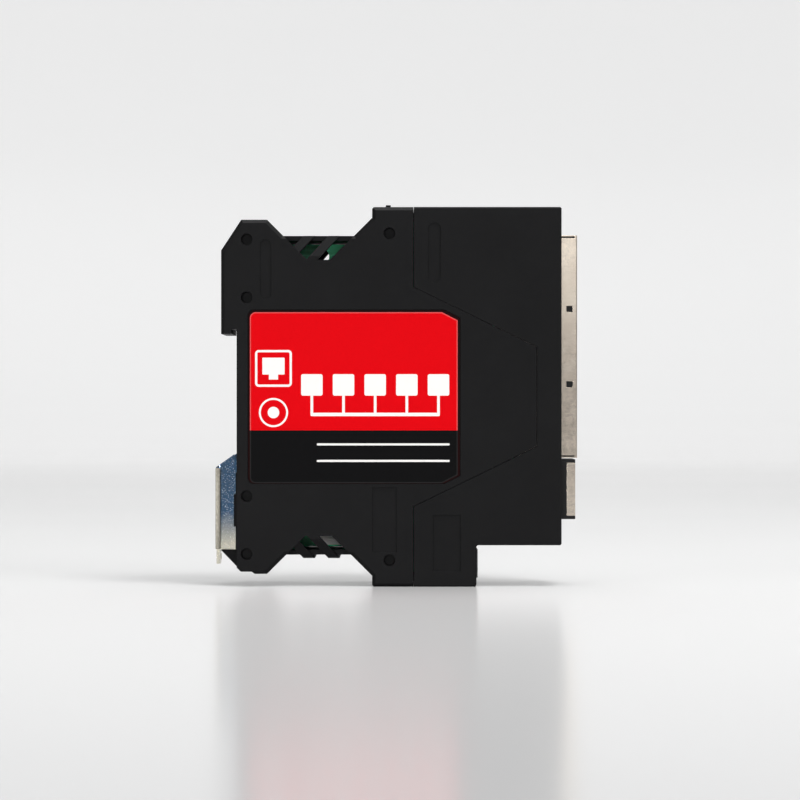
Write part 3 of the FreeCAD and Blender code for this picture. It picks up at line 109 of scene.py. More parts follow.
def add(
    tree: bpy.types.NodeTree,
    kind: str,
    inputs: dict[str | int, object] | None = None,
    **settings: object,
) -> bpy.types.Node:
    """Adds a node with its settings, its input values and its links.

    Args:
        tree: the node tree that takes the node.
        kind: Blender's name of the node type, without ShaderNode in front.
        inputs: socket name or number, with a plain value, a hex colour, an output socket to link
            from, or a node whose first output in use is linked.
        **settings: the node's own properties.

    Returns:
        The new node.
    """
    node = tree.nodes.new("ShaderNode" + kind)
    for name, value in settings.items():
        setattr(node, name, value)
    for key, value in (inputs or {}).items():
        entry = node.inputs[key] if isinstance(key, int) else in_use(node.inputs, key)
        source = in_use(value.outputs) if isinstance(value, bpy.types.Node) else value
        if isinstance(source, bpy.types.NodeSocket):
            tree.links.new(source, entry)
        else:
            entry.default_value = linear(source) if isinstance(source, str) else source
    return node


def noise(
    tree: bpy.types.NodeTree,
    size_mm: float,
    stretch: tuple[float, float, float] = (1.0, 1.0, 1.0),
    detail: float = 2.0,
) -> bpy.types.Node:
    """Noise in the piece's own place, with grains of a real size.

    Args:
        tree: the node tree.
        size_mm: width of one grain.
        stretch: how many times longer the grain is along X, Y and Z.
        detail: how many finer octaves lie over it.

    Returns:
        The node that gives the noise.
    """
    place = add(tree, "TexCoord").outputs["Object"]
    shrink = tuple(1.0 / part for part in stretch)
    mapped = add(tree, "Mapping", {"Vector": place, "Scale": shrink}, vector_type="POINT")
    return add(tree, "TexNoise", {"Vector": mapped, "Scale": per_metre(size_mm), "Detail": detail})


def from_noise(value: bpy.types.Node, low: float = 0.0, high: float = 1.0) -> dict[str, object]:
    """Returns inputs that carry noise from 0.3 to 0.7, where nearly all of it lies, onto low to high."""
    return {"Value": value, "From Min": 0.3, "From Max": 0.7, "To Min": low, "To Max": high}


def along(tree: bpy.types.NodeTree, axis: str) -> bpy.types.NodeSocket:
    """Returns the place along one axis of the piece's own coordinates, in metres."""
    place = add(tree, "TexCoord").outputs["Object"]
    return add(tree, "SeparateXYZ", {"Vector": place}).outputs[axis]


# Finishes

class Finish:
    """A finish with its material's name, and the way that every finish becomes a material."""

    name: str

    def inputs(self, tree: bpy.types.NodeTree) -> dict[str, object]:
        """Works out what the shader takes.

        Args:
            tree: the material's node tree.

        Returns:
            Socket names, with values, hex colours, nodes or sockets as add takes them.
        """
        raise NotImplementedError

    def build(self) -> bpy.types.Material:
        """Makes an empty tree and puts in the finish's own nodes, one shader and the output.

        Returns:
            The finished material.
        """
        material = bpy.data.materials.new(self.name)
        material.use_nodes = True
        tree = material.node_tree
        tree.nodes.clear()
        shader = add(tree, "BsdfPrincipled", self.inputs(tree))
        add(tree, "OutputMaterial", {"Surface": shader})
        return material


@dataclass(frozen=True)
class MouldedPolyamide(Finish):
    """Black glass-filled polyamide, injection moulded in a spark-eroded tool.

    The tool leaves a fine even grain that breaks up the gloss, so broad walls look dead
    matt while rounded edges catch a soft grey line. Large walls sink a little where ribs
    and bosses stand behind them. A fine seam runs where the two shells meet, and the hood,
    which is one moulding, has none.
    """

    name: str = "black_polyamide"
    base: str = "#101011"
    rubbed: str = "#171718"
    cloud_mm: float = 14.0
    gloss_mm: float = 2.5
    grain_mm: float = 0.16
    grain_depth_mm: float = 0.012
    sink_mm: float = 9.0
    sink_depth_mm: float = 0.02
    edge_mm: float = 0.16
    seam_mm: float | None = 0.16
    seam_depth_mm: float = 0.08
    seam_shade: str = "#050505"
    roughness: tuple[float, float] = (0.48, 0.53)

    def inputs(self, tree: bpy.types.NodeTree) -> dict[str, object]:
        """Works out the black, its gloss, the grain over the sinks, and the seam if there is one.

        Args:
            tree: the material's node tree.

        Returns:
            What the shader's sockets take.
        """
        cloud = noise(tree, self.cloud_mm, detail=3.0)
        rubbing = add(tree, "MapRange", from_noise(cloud, 0.0, 0.4))
        colour = add(tree, "Mix", {"Factor": rubbing, "A": self.base, "B": self.rubbed}, data_type="RGBA")
        edge = add(tree, "Bevel", {"Radius": self.edge_mm * MM}, samples=EDGE_SAMPLES)
        depth = self.sink_depth_mm * MM
        sink = noise(tree, self.sink_mm, detail=0.0)
        swept = add(tree, "Bump", {"Height": sink, "Distance": depth, "Strength": 0.35, "Normal": edge})
        depth = self.grain_depth_mm * MM
        grain = noise(tree, self.grain_mm, detail=1.0)
        skin = add(tree, "Bump", {"Height": grain, "Distance": depth, "Strength": 0.55, "Normal": swept})
        if self.seam_mm:
            seam = self.seam(tree)
            colour = add(tree, "Mix", {"Factor": seam, "A": colour, "B": self.seam_shade}, data_type="RGBA")
            land = add(tree, "Math", {0: 1.0, 1: seam}, operation="SUBTRACT")
            depth = self.seam_depth_mm * MM
            skin = add(tree, "Bump", {"Height": land, "Distance": depth, "Strength": 0.6, "Normal": skin})
        gloss = add(tree, "MapRange", from_noise(noise(tree, self.gloss_mm), *self.roughness))
        return {
            "Base Color": colour,
            "Roughness": gloss,
            "IOR": 1.53,
            "Specular IOR Level": 0.1,
            "Normal": skin,
        }

    def seam(self, tree: bpy.types.NodeTree) -> bpy.types.Node:
        """Marks the line where the shells meet, on the middle plane.

        Args:
            tree: the material's node tree.

        Returns:
            The node that gives one on the line and zero from half its width off.
        """
        off = add(tree, "Math", {0: along(tree, "Y")}, operation="ABSOLUTE")
        half = self.seam_mm * MM / 2
        return add(tree, "MapRange", {"Value": off, "From Min": half * 0.5, "From Max": half, **FALLING})


@dataclass(frozen=True)
class ZincPlatedStrip(Finish):
    """Cold-rolled spring strip, stamped, folded, then zinc plated and blue passivated.

    Rolling leaves fine lines up and down the strip, and the plating is a satin. Grains of the
    plating that catch the light are painted glints: small bright specks in its colour, drawn
    coarser than they are so that they show. The passivation is blue over most of the part, and
    its colour turns to a pale straw towards its lower end.
    """

    name: str = "zinc_plated_strip"
    blue: str = "#3B6086"
    steel: str = "#4B647E"
    straw: str = "#E2DDCA"
    # colour of the painted glints
    glint_colour: str = "#E4E9EC"
    rolled: str = "#6F777C"
    pale_end_z: tuple[float, float] = (-32.5, -25.0)
    pale_edge_wave: float = 12.0
    patch_mm: float = 7.0
    line_mm: float = 0.12
    line_depth_mm: float = 0.004
    pit_mm: float = 0.27
    pit_depth_mm: float = 0.012
    glint_mm: float = 0.41
    glint_reach: tuple[float, float] = (0.16, 0.34)
    edge_mm: float = 0.12
    roughness: tuple[float, float] = (0.13, 0.24)

    def inputs(self, tree: bpy.types.NodeTree) -> dict[str, object]:
        """Works out the bath's colours, the sparkle, and the pits under the rolling lines.

        Args:
            tree: the material's node tree.

        Returns:
            What the shader's sockets take.
        """
        patches = noise(tree, self.patch_mm, (1.0, 1.0, 2.2))
        lines = noise(tree, self.line_mm, (1.0, 1.0, 60.0), detail=1.0)
        pits = noise(tree, self.pit_mm)
        bath = add(tree, "MapRange", from_noise(patches))
        coat = add(tree, "Mix", {"Factor": bath, "A": self.blue, "B": self.steel}, data_type="RGBA")
        kept = self.kept(tree, patches)
        # the colour turns to pale straw towards the lower end, with an uneven edge
        tint = add(tree, "Mix", {"Factor": kept, "A": self.straw, "B": coat}, data_type="RGBA")
        # painted glints: bright specks in the colour stand in for grains that catch the light
        glints = self.painted_glints(tree)
        glinted = add(tree, "Mix", {"Factor": glints, "A": tint, "B": self.glint_colour}, data_type="RGBA")
        streaks = add(tree, "MapRange", from_noise(lines, 0.0, 0.2))
        streaked = add(tree, "Mix", {"Factor": streaks, "A": glinted, "B": self.rolled}, data_type="RGBA")
        edge = add(tree, "Bevel", {"Radius": self.edge_mm * MM}, samples=EDGE_SAMPLES)
        depth = self.pit_depth_mm * MM
        pitted = add(tree, "Bump", {"Height": pits, "Distance": depth, "Strength": 0.35, "Normal": edge})
        depth = self.line_depth_mm * MM
        skin = add(tree, "Bump", {"Height": lines, "Distance": depth, "Strength": 0.2, "Normal": pitted})
        gloss = add(tree, "MapRange", from_noise(pits, *self.roughness))
        return {
            "Base Color": streaked,
            "Metallic": 1.0,
            "Roughness": gloss,
            "Normal": skin,
        }

    def painted_glints(self, tree: bpy.types.NodeTree) -> bpy.types.Node:
        """Marks painted glints, where grains would catch the light: round points at random.

        Args:
            tree: the material's node tree.

        Returns:
            The node that gives 0.75 on a point and zero from a third of a spacing off.
        """
        place = add(tree, "TexCoord").outputs["Object"]
        points = {"Vector": place, "Scale": per_metre(self.glint_mm)}
        gap = add(tree, "TexVoronoi", points, voronoi_dimensions="3D")
        near, far = self.glint_reach
        inputs = {"Value": gap, "From Min": near, "From Max": far, "To Min": 0.75, "To Max": 0.0}
        return add(tree, "MapRange", inputs)

    def kept(self, tree: bpy.types.NodeTree, patches: bpy.types.Node) -> bpy.types.Node:
        """Marks where the blue is kept, with an uneven edge: height plus wave times noise.

        Args:
            tree: the material's node tree.
            patches: the noise that makes the edge uneven.

        Returns:
            The node that gives one where the blue is kept and zero on the pale lower end.
        """
        wave = {0: patches, 1: self.pale_edge_wave * MM, 2: along(tree, "Z")}
        level = add(tree, "Math", wave, operation="MULTIPLY_ADD")
        low, high = self.pale_end_z
        return add(tree, "MapRange", {"Value": level, "From Min": low * MM, "From Max": high * MM})


@dataclass(frozen=True)
class NickelSheet(Finish):
    """Thin brass sheet, nickel plated, folded round the jacks.

    The plating is warm and satin. The sheet keeps rolling lines along the jack's length and
    a faint orange peel, and its folds show as bright lines.
    """

    name: str = "nickel_plated_sheet"
    bright: str = "#DED3C4"
    dull: str = "#D3C6B7"
    stain_mm: float = 5.0
    line_mm: float = 0.1
    line_depth_mm: float = 0.006
    peel_mm: float = 0.7
    peel_depth_mm: float = 0.02
    edge_mm: float = 0.1
    roughness: tuple[float, float] = (0.17, 0.24)

    def inputs(self, tree: bpy.types.NodeTree) -> dict[str, object]:
        """Works out the stain, and the peel under the rolling lines.

        Args:
            tree: the material's node tree.

        Returns:
            What the shader's sockets take.
        """
        stain = add(tree, "MapRange", from_noise(noise(tree, self.stain_mm, detail=3.0)))
        edge = add(tree, "Bevel", {"Radius": self.edge_mm * MM}, samples=EDGE_SAMPLES)
        peel = noise(tree, self.peel_mm)
        depth = self.peel_depth_mm * MM
        peeled = add(tree, "Bump", {"Height": peel, "Distance": depth, "Strength": 0.2, "Normal": edge})
        lines = noise(tree, self.line_mm, (1.0, 1.0, 45.0), detail=1.0)
        depth = self.line_depth_mm * MM
        tint = add(tree, "Mix", {"Factor": stain, "A": self.bright, "B": self.dull}, data_type="RGBA")
        gloss = add(tree, "MapRange", from_noise(peel, *self.roughness))
        skin = add(tree, "Bump", {"Height": lines, "Distance": depth, "Strength": 0.3, "Normal": peeled})
        return {
            "Base Color": tint,
            "Metallic": 1.0,
            "Roughness": gloss,
            "Normal": skin,
        }


@dataclass(frozen=True)
class JackPlastic(Finish):
    """Black glass-filled polyester of the jack's insulator, moulded in a polished tool.

    Its gloss follows the flow of the melt, and the glass shows as a very fine tooth.
    """

    name: str = "jack_polyester"
    base: str = "#0A0A0B"
    flowed: str = "#101011"
    flow_mm: float = 1.8
    glass_mm: float = 0.09
    glass_depth_mm: float = 0.006
    edge_mm: float = 0.1
    roughness: tuple[float, float] = (0.36, 0.46)

    def inputs(self, tree: bpy.types.NodeTree) -> dict[str, object]:
        """Works out the flow's colour and gloss, and the tooth of the glass.

        Args:
            tree: the material's node tree.

        Returns:
            What the shader's sockets take.
        """
        flow = noise(tree, self.flow_mm, (3.0, 1.0, 1.0))
        shift = add(tree, "MapRange", from_noise(flow, 0.0, 0.5))
        glass = noise(tree, self.glass_mm, detail=1.0)
        edge = add(tree, "Bevel", {"Radius": self.edge_mm * MM}, samples=EDGE_SAMPLES)
        depth = self.glass_depth_mm * MM
        tint = add(tree, "Mix", {"Factor": shift, "A": self.base, "B": self.flowed}, data_type="RGBA")
        gloss = add(tree, "MapRange", from_noise(flow, *self.roughness))
        skin = add(tree, "Bump", {"Height": glass, "Distance": depth, "Strength": 0.35, "Normal": edge})
        return {
            "Base Color": tint,
            "Roughness": gloss,
            "IOR": 1.57,
            "Specular IOR Level": 0.2,
            "Normal": skin,
        }


@dataclass(frozen=True)
class PlatedMetal(Finish):
    """Small plated parts: gold contacts, tinned leads, spring wire and cut edges.

    Drawn or stamped stock under a thin plating: fine lines along the part, and a plating
    whose gloss goes up and down a little.
    """

    name: str
    colour: str
    shade: str
    low_gloss: float
    high_gloss: float
    patch_mm: float = 0.8
    line_mm: float = 0.06
    line_depth_mm: float = 0.004
    edge_mm: float = 0.05

    def inputs(self, tree: bpy.types.NodeTree) -> dict[str, object]:
        """Works out the plating's patches and the drawn lines.

        Args:
            tree: the material's node tree.

        Returns:
            What the shader's sockets take.
        """
        drawn = noise(tree, self.line_mm, (20.0, 1.0, 1.0), detail=1.0)
        patch = noise(tree, self.patch_mm)
        shift = add(tree, "MapRange", from_noise(patch))
        edge = add(tree, "Bevel", {"Radius": self.edge_mm * MM}, samples=EDGE_SAMPLES)
        depth = self.line_depth_mm * MM
        gloss = add(tree, "MapRange", from_noise(patch, self.low_gloss, self.high_gloss))
        tint = add(tree, "Mix", {"Factor": shift, "A": self.colour, "B": self.shade}, data_type="RGBA")
        skin = add(tree, "Bump", {"Height": drawn, "Distance": depth, "Strength": 0.3, "Normal": edge})
        return {
            "Base Color": tint,
            "Metallic": 1.0,
            "Roughness": gloss,
            "Normal": skin,
        }


@dataclass(frozen=True)
class MouldedPackage(Finish):
    """Moulded or pressed bodies on the board: epoxy, ferrite, ceramic and header polyamide.

    Their filler shows as fine flecks and as a grain that keeps them matt.
    """

    name: str
    colour: str
    fleck: str
    roughness: tuple[float, float]
    grain_mm: float = 0.1
    grain_depth_mm: float = 0.01
    cloud_mm: float = 2.0
    edge_mm: float = 0.08

    def inputs(self, tree: bpy.types.NodeTree) -> dict[str, object]:
        """Works out the flecks, the gloss and the grain.

        Args:
            tree: the material's node tree.

        Returns:
            What the shader's sockets take.
        """
        grain = noise(tree, self.grain_mm)
        cloud = noise(tree, self.cloud_mm)
        shift = add(tree, "MapRange", from_noise(grain, 0.0, 0.6))
        edge = add(tree, "Bevel", {"Radius": self.edge_mm * MM}, samples=EDGE_SAMPLES)
        depth = self.grain_depth_mm * MM
        tint = add(tree, "Mix", {"Factor": shift, "A": self.colour, "B": self.fleck}, data_type="RGBA")
        gloss = add(tree, "MapRange", from_noise(cloud, *self.roughness))
        skin = add(tree, "Bump", {"Height": grain, "Distance": depth, "Strength": 0.4, "Normal": edge})
        return {
            "Base Color": tint,
            "Roughness": gloss,
            "IOR": 1.54,
            "Normal": skin,
        }


@dataclass(frozen=True)
class CapacitorCan(Finish):
    """Drawn aluminium can in a clear lacquer, brushed round by the drawing die."""

    name: str = "drawn_aluminium"
    colour: str = "#C9CCCE"
    shade: str = "#A9ADB0"
    patch_mm: float = 2.0
    ring_mm: float = 0.07
    ring_depth_mm: float = 0.006
    edge_mm: float = 0.12
    roughness: tuple[float, float] = (0.25, 0.38)

    def inputs(self, tree: bpy.types.NodeTree) -> dict[str, object]:
        """Works out the can's patches, its rings and the lacquer.

        Args:
            tree: the material's node tree.

        Returns:
            What the shader's sockets take.
        """
        rings = noise(tree, self.ring_mm, (12.0, 1.0, 12.0), detail=1.0)
        patch = noise(tree, self.patch_mm)
        shift = add(tree, "MapRange", from_noise(patch))
        edge = add(tree, "Bevel", {"Radius": self.edge_mm * MM}, samples=EDGE_SAMPLES)
        depth = self.ring_depth_mm * MM
        tint = add(tree, "Mix", {"Factor": shift, "A": self.colour, "B": self.shade}, data_type="RGBA")
        gloss = add(tree, "MapRange", from_noise(patch, *self.roughness))
        skin = add(tree, "Bump", {"Height": rings, "Distance": depth, "Strength": 0.35, "Normal": edge})
        return {
            "Base Color": tint,
            "Metallic": 1.0,
            "Roughness": gloss,
            "Coat Weight": 0.3,
            "Coat Roughness": 0.2,
            "Normal": skin,
        }


@dataclass(frozen=True)
class LightLens(Finish):
    """Milky water-clear epoxy of the jack's small lights, tinted by the chip behind it."""

    name: str
    colour: str
    milk: str = "#E4E8DA"
    haze_mm: float = 0.5
    haze_depth_mm: float = 0.01
    glow_reach_mm: float = 0.6
    edge_mm: float = 0.08
    roughness: tuple[float, float] = (0.12, 0.22)

    def inputs(self, tree: bpy.types.NodeTree) -> dict[str, object]:
        """Works out the milk in the epoxy and its haze.

        Args:
            tree: the material's node tree.

        Returns:
            What the shader's sockets take.
        """
        haze = noise(tree, self.haze_mm)
        shift = add(tree, "MapRange", from_noise(haze, 0.0, 0.5))
        edge = add(tree, "Bevel", {"Radius": self.edge_mm * MM}, samples=EDGE_SAMPLES)
        depth = self.haze_depth_mm * MM
        tint = add(tree, "Mix", {"Factor": shift, "A": self.colour, "B": self.milk}, data_type="RGBA")
        gloss = add(tree, "MapRange", from_noise(haze, *self.roughness))
        skin = add(tree, "Bump", {"Height": haze, "Distance": depth, "Strength": 0.2, "Normal": edge})
        return {
            "Base Color": tint,
            "Roughness": gloss,
            "IOR": 1.52,
            "Subsurface Weight": 0.35,
            "Subsurface Radius": (self.glow_reach_mm * MM,) * 3,
            "Transmission Weight": 0.25,
            "Normal": skin,
        }


class PrintShape(Enum):
    """Plain shapes that the label's print is made of."""

    BLOCK = "block"
    OUTLINE = "outline"


@dataclass(frozen=True)
class PrintMark:
    """One printed shape: its middle, its size and corner radius in millimetres, and its line."""

    x: float
    z: float
    width: float
    height: float
    radius: float = 0.0
    shape: PrintShape = PrintShape.BLOCK
    line: float = 0.5


@dataclass(frozen=True)
class InkOutline:
    """Where the film's ink ends, in millimetres: round at the rear corners, cut off at the front ones."""

    start_x: float = 3.45
    end_x: float = 57.6
    low_z: float = -22.5
    high_z: float = 22.05
    radius: float = 1.5
    cut_length: float = 4.1
    cut_height: float = 2.1


@dataclass(frozen=True)
class PrintedFilm(Finish):
    """Polyester film, reverse printed in red and black under a satin laminate.

    The ink is flat and even, with thin places in the red, and the laminate has a fine matt
    tooth. The white of the film shows where the ink is left out. Its rim is painted dark, a
    painted shadow of the recess, and the ink's trimmed edge has a thin painted highlight,
    fainter beside the black.
    """

    marks: tuple[PrintMark, ...]
    band_z: float
    outline: InkOutline = InkOutline()
    name: str = "printed_film"
    red: str = "#DA000C"
    thin_red: str = "#CC000A"
    black: str = "#0C0C0D"
    white: str = "#F1EFEC"
    # painted shadow of the recess, laid on the film's rim outside the ink
    recess_shadow: str = "#1C0607"
    # width and strength of the painted highlight on the ink's edge
    highlight_width: float = 0.28
    paleness_black: float = 0.015
    paleness_gain: float = 0.08
    blur: float = 0.04
    mottle_mm: float = 0.5
    tooth_mm: float = 0.12
    tooth_depth_mm: float = 0.005
    edge_mm: float = 0.06
    roughness: tuple[float, float] = (0.5, 0.58)

    def inputs(self, tree: bpy.types.NodeTree) -> dict[str, object]:
        """Works out the fields, the print, the painted shadow and highlight at the ink's edge, and the
        laminate's tooth.

        Args:
            tree: the material's node tree.

        Returns:
            What the shader's sockets take.
        """
        above = self.step(tree, along(tree, "Z"), self.band_z)
        mottle = noise(tree, self.mottle_mm, detail=3.0)
        thin = add(tree, "MapRange", from_noise(mottle, 0.0, 0.25))
        red = add(tree, "Mix", {"Factor": thin, "A": self.red, "B": self.thin_red}, data_type="RGBA")
        ink = add(tree, "Mix", {"Factor": above, "A": self.black, "B": red}, data_type="RGBA")
        to_edge = self.edge_distance(tree)
        covered = self.inside(tree, to_edge)
        # painted highlight: a thin pale line along the ink's trimmed edge
        line = self.painted_edge_highlight(tree, to_edge, covered, above)
        highlighted = add(tree, "Mix", {"Factor": line, "A": ink, "B": self.white}, data_type="RGBA")
        printed = self.print_mask(tree)
        drawn = add(tree, "Mix", {"Factor": printed, "A": highlighted, "B": self.white}, data_type="RGBA")
        tooth = noise(tree, self.tooth_mm, detail=1.0)
        edge = add(tree, "Bevel", {"Radius": self.edge_mm * MM}, samples=EDGE_SAMPLES)
        depth = self.tooth_depth_mm * MM
        # outside the ink the film takes the painted shadow of the recess
        tint = add(tree, "Mix", {"Factor": covered, "A": self.recess_shadow, "B": drawn}, data_type="RGBA")
        gloss = add(tree, "MapRange", from_noise(mottle, *self.roughness))
        skin = add(tree, "Bump", {"Height": tooth, "Distance": depth, "Strength": 0.3, "Normal": edge})
        return {
            "Base Color": tint,
            "Roughness": gloss,
            "IOR": 1.5,
            "Specular IOR Level": 0.05,
            "Normal": skin,
        }

    def painted_edge_highlight(
        self,
        tree: bpy.types.NodeTree,
        to_edge: bpy.types.Node,
        covered: bpy.types.Node,
        above: bpy.types.Node,
    ) -> bpy.types.Node:
        """Share of white painted on the ink's trimmed edge as a painted highlight.

        Args:
            tree: the node tree.
            to_edge: distance from the ink's outline, below zero inside.
            covered: one where there is ink.
            above: one over the black band and zero on it.

        Returns:
            The node that gives it: the ink less what lies farther in than the line, times its paleness.
        """
        moved = add(tree, "Math", {0: to_edge, 1: self.highlight_width * MM}, operation="ADD")
        band = add(tree, "Math", {0: covered, 1: self.inside(tree, moved)}, operation="SUBTRACT")
        gain = {0: above, 1: self.paleness_gain, 2: self.paleness_black}
        paleness = add(tree, "Math", gain, operation="MULTIPLY_ADD")
        return add(tree, "Math", {0: band, 1: paleness}, operation="MULTIPLY")

    def edge_distance(self, tree: bpy.types.NodeTree) -> bpy.types.Node:
        """Works out the distance from the ink's outline, in metres, below zero inside.

        It is the greater of the distance from the round-cornered rectangle and that from the
        cut, which is n . (p - q) for the cut's outward normal n and its upper end q, with the
        height of p over the outline's middle taken without its sign.

        Args:
            tree: the material's node tree.

        Returns:
            The node that gives the distance.
        """
        line = self.outline
        middle = ((line.start_x + line.end_x) / 2, (line.low_z + line.high_z) / 2)
        half = ((line.end_x - line.start_x) / 2, (line.high_z - line.low_z) / 2)
        box = self.distance(tree, middle, half, line.radius)
        reach = math.hypot(line.cut_length, line.cut_height)
        corner = (line.end_x - line.cut_length) * MM
        past = add(tree, "Math", {0: along(tree, "X"), 1: corner}, operation="SUBTRACT")
        off = add(tree, "Math", {0: along(tree, "Z"), 1: middle[1] * MM}, operation="SUBTRACT")
        height = add(tree, "Math", {0: off}, operation="ABSOLUTE")
        over = add(tree, "Math", {0: height, 1: half[1] * MM}, operation="SUBTRACT")
        lean = add(tree, "Math", {0: past, 1: line.cut_height / reach}, operation="MULTIPLY")
        cut = add(tree, "Math", {0: over, 1: line.cut_length / reach, 2: lean}, operation="MULTIPLY_ADD")
        return add(tree, "Math", {0: box, 1: cut}, operation="MAXIMUM")

    def step(self, tree: bpy.types.NodeTree, value: bpy.types.NodeSocket, edge_mm: float) -> bpy.types.Node:
        """Gives zero below edge_mm and one above it, over the width of the ink's blur."""
        low, high = (edge_mm - self.blur / 2) * MM, (edge_mm + self.blur / 2) * MM
        return add(tree, "MapRange", {"Value": value, "From Min": low, "From Max": high})

    def distance(
        self,
        tree: bpy.types.NodeTree,
        centre: tuple[float, float],
        half: tuple[float, float],
        radius: float,
    ) -> bpy.types.Node:
        """Distance from a round-cornered rectangle's edge, in metres, below zero inside.

        It is the length of max(|p - c| - (half - r), 0), less r, in the XZ plane.

        Args:
            tree: the node tree.
            centre: X and Z of its middle, in millimetres.
            half: half its length and half its height.
            radius: radius of its corners.

        Returns:
            The node that gives the distance.
        """
        place = add(tree, "TexCoord").outputs["Object"]
        middle = (centre[0] * MM, 0.0, centre[1] * MM)
        # The middle one leaves Y out, since no point lies a metre off the film
        core = ((half[0] - radius) * MM, 1.0, (half[1] - radius) * MM)
        offset = add(tree, "VectorMath", {0: place, 1: middle}, operation="SUBTRACT")
        size = add(tree, "VectorMath", {0: offset}, operation="ABSOLUTE")
        past = add(tree, "VectorMath", {0: size, 1: core}, operation="SUBTRACT")
        kept = add(tree, "VectorMath", {0: past, 1: (0.0, 0.0, 0.0)}, operation="MAXIMUM")
        length = add(tree, "VectorMath", {0: kept}, operation="LENGTH")
        return add(tree, "Math", {0: length, 1: radius * MM}, operation="SUBTRACT")

    def inside(self, tree: bpy.types.NodeTree, distance: bpy.types.Node) -> bpy.types.Node:
        """Gives one where the distance is below zero and zero where it is above."""
        half = self.blur * MM / 2
        return add(tree, "MapRange", {"Value": distance, "From Min": -half, "From Max": half, **FALLING})

    def print_mask(self, tree: bpy.types.NodeTree) -> bpy.types.Node:
        """Joins the masks of all printed shapes: the greatest of them.

        Args:
            tree: the material's node tree.

        Returns:
            The node that gives one on the shapes and zero between them.
        """
        printed = self.mark_mask(tree, self.marks[0])
        for mark in self.marks[1:]:
            printed = add(tree, "Math", {0: printed, 1: self.mark_mask(tree, mark)}, operation="MAXIMUM")
        return printed

    def mark_mask(self, tree: bpy.types.NodeTree, mark: PrintMark) -> bpy.types.Node:
        """Draws one printed shape, filled or as a line along its inner edge.

        Args:
            tree: the material's node tree.
            mark: the shape.

        Returns:
            The node that gives one on the shape and zero off it.
        """
        half = (mark.width / 2, mark.height / 2)
        gap = self.distance(tree, (mark.x, mark.z), half, max(mark.radius, self.blur))
        full = self.inside(tree, gap)
        if mark.shape is PrintShape.BLOCK:
            return full
        moved = add(tree, "Math", {0: gap, 1: mark.line * MM}, operation="ADD")
        return add(tree, "Math", {0: full, 1: self.inside(tree, moved)}, operation="SUBTRACT")


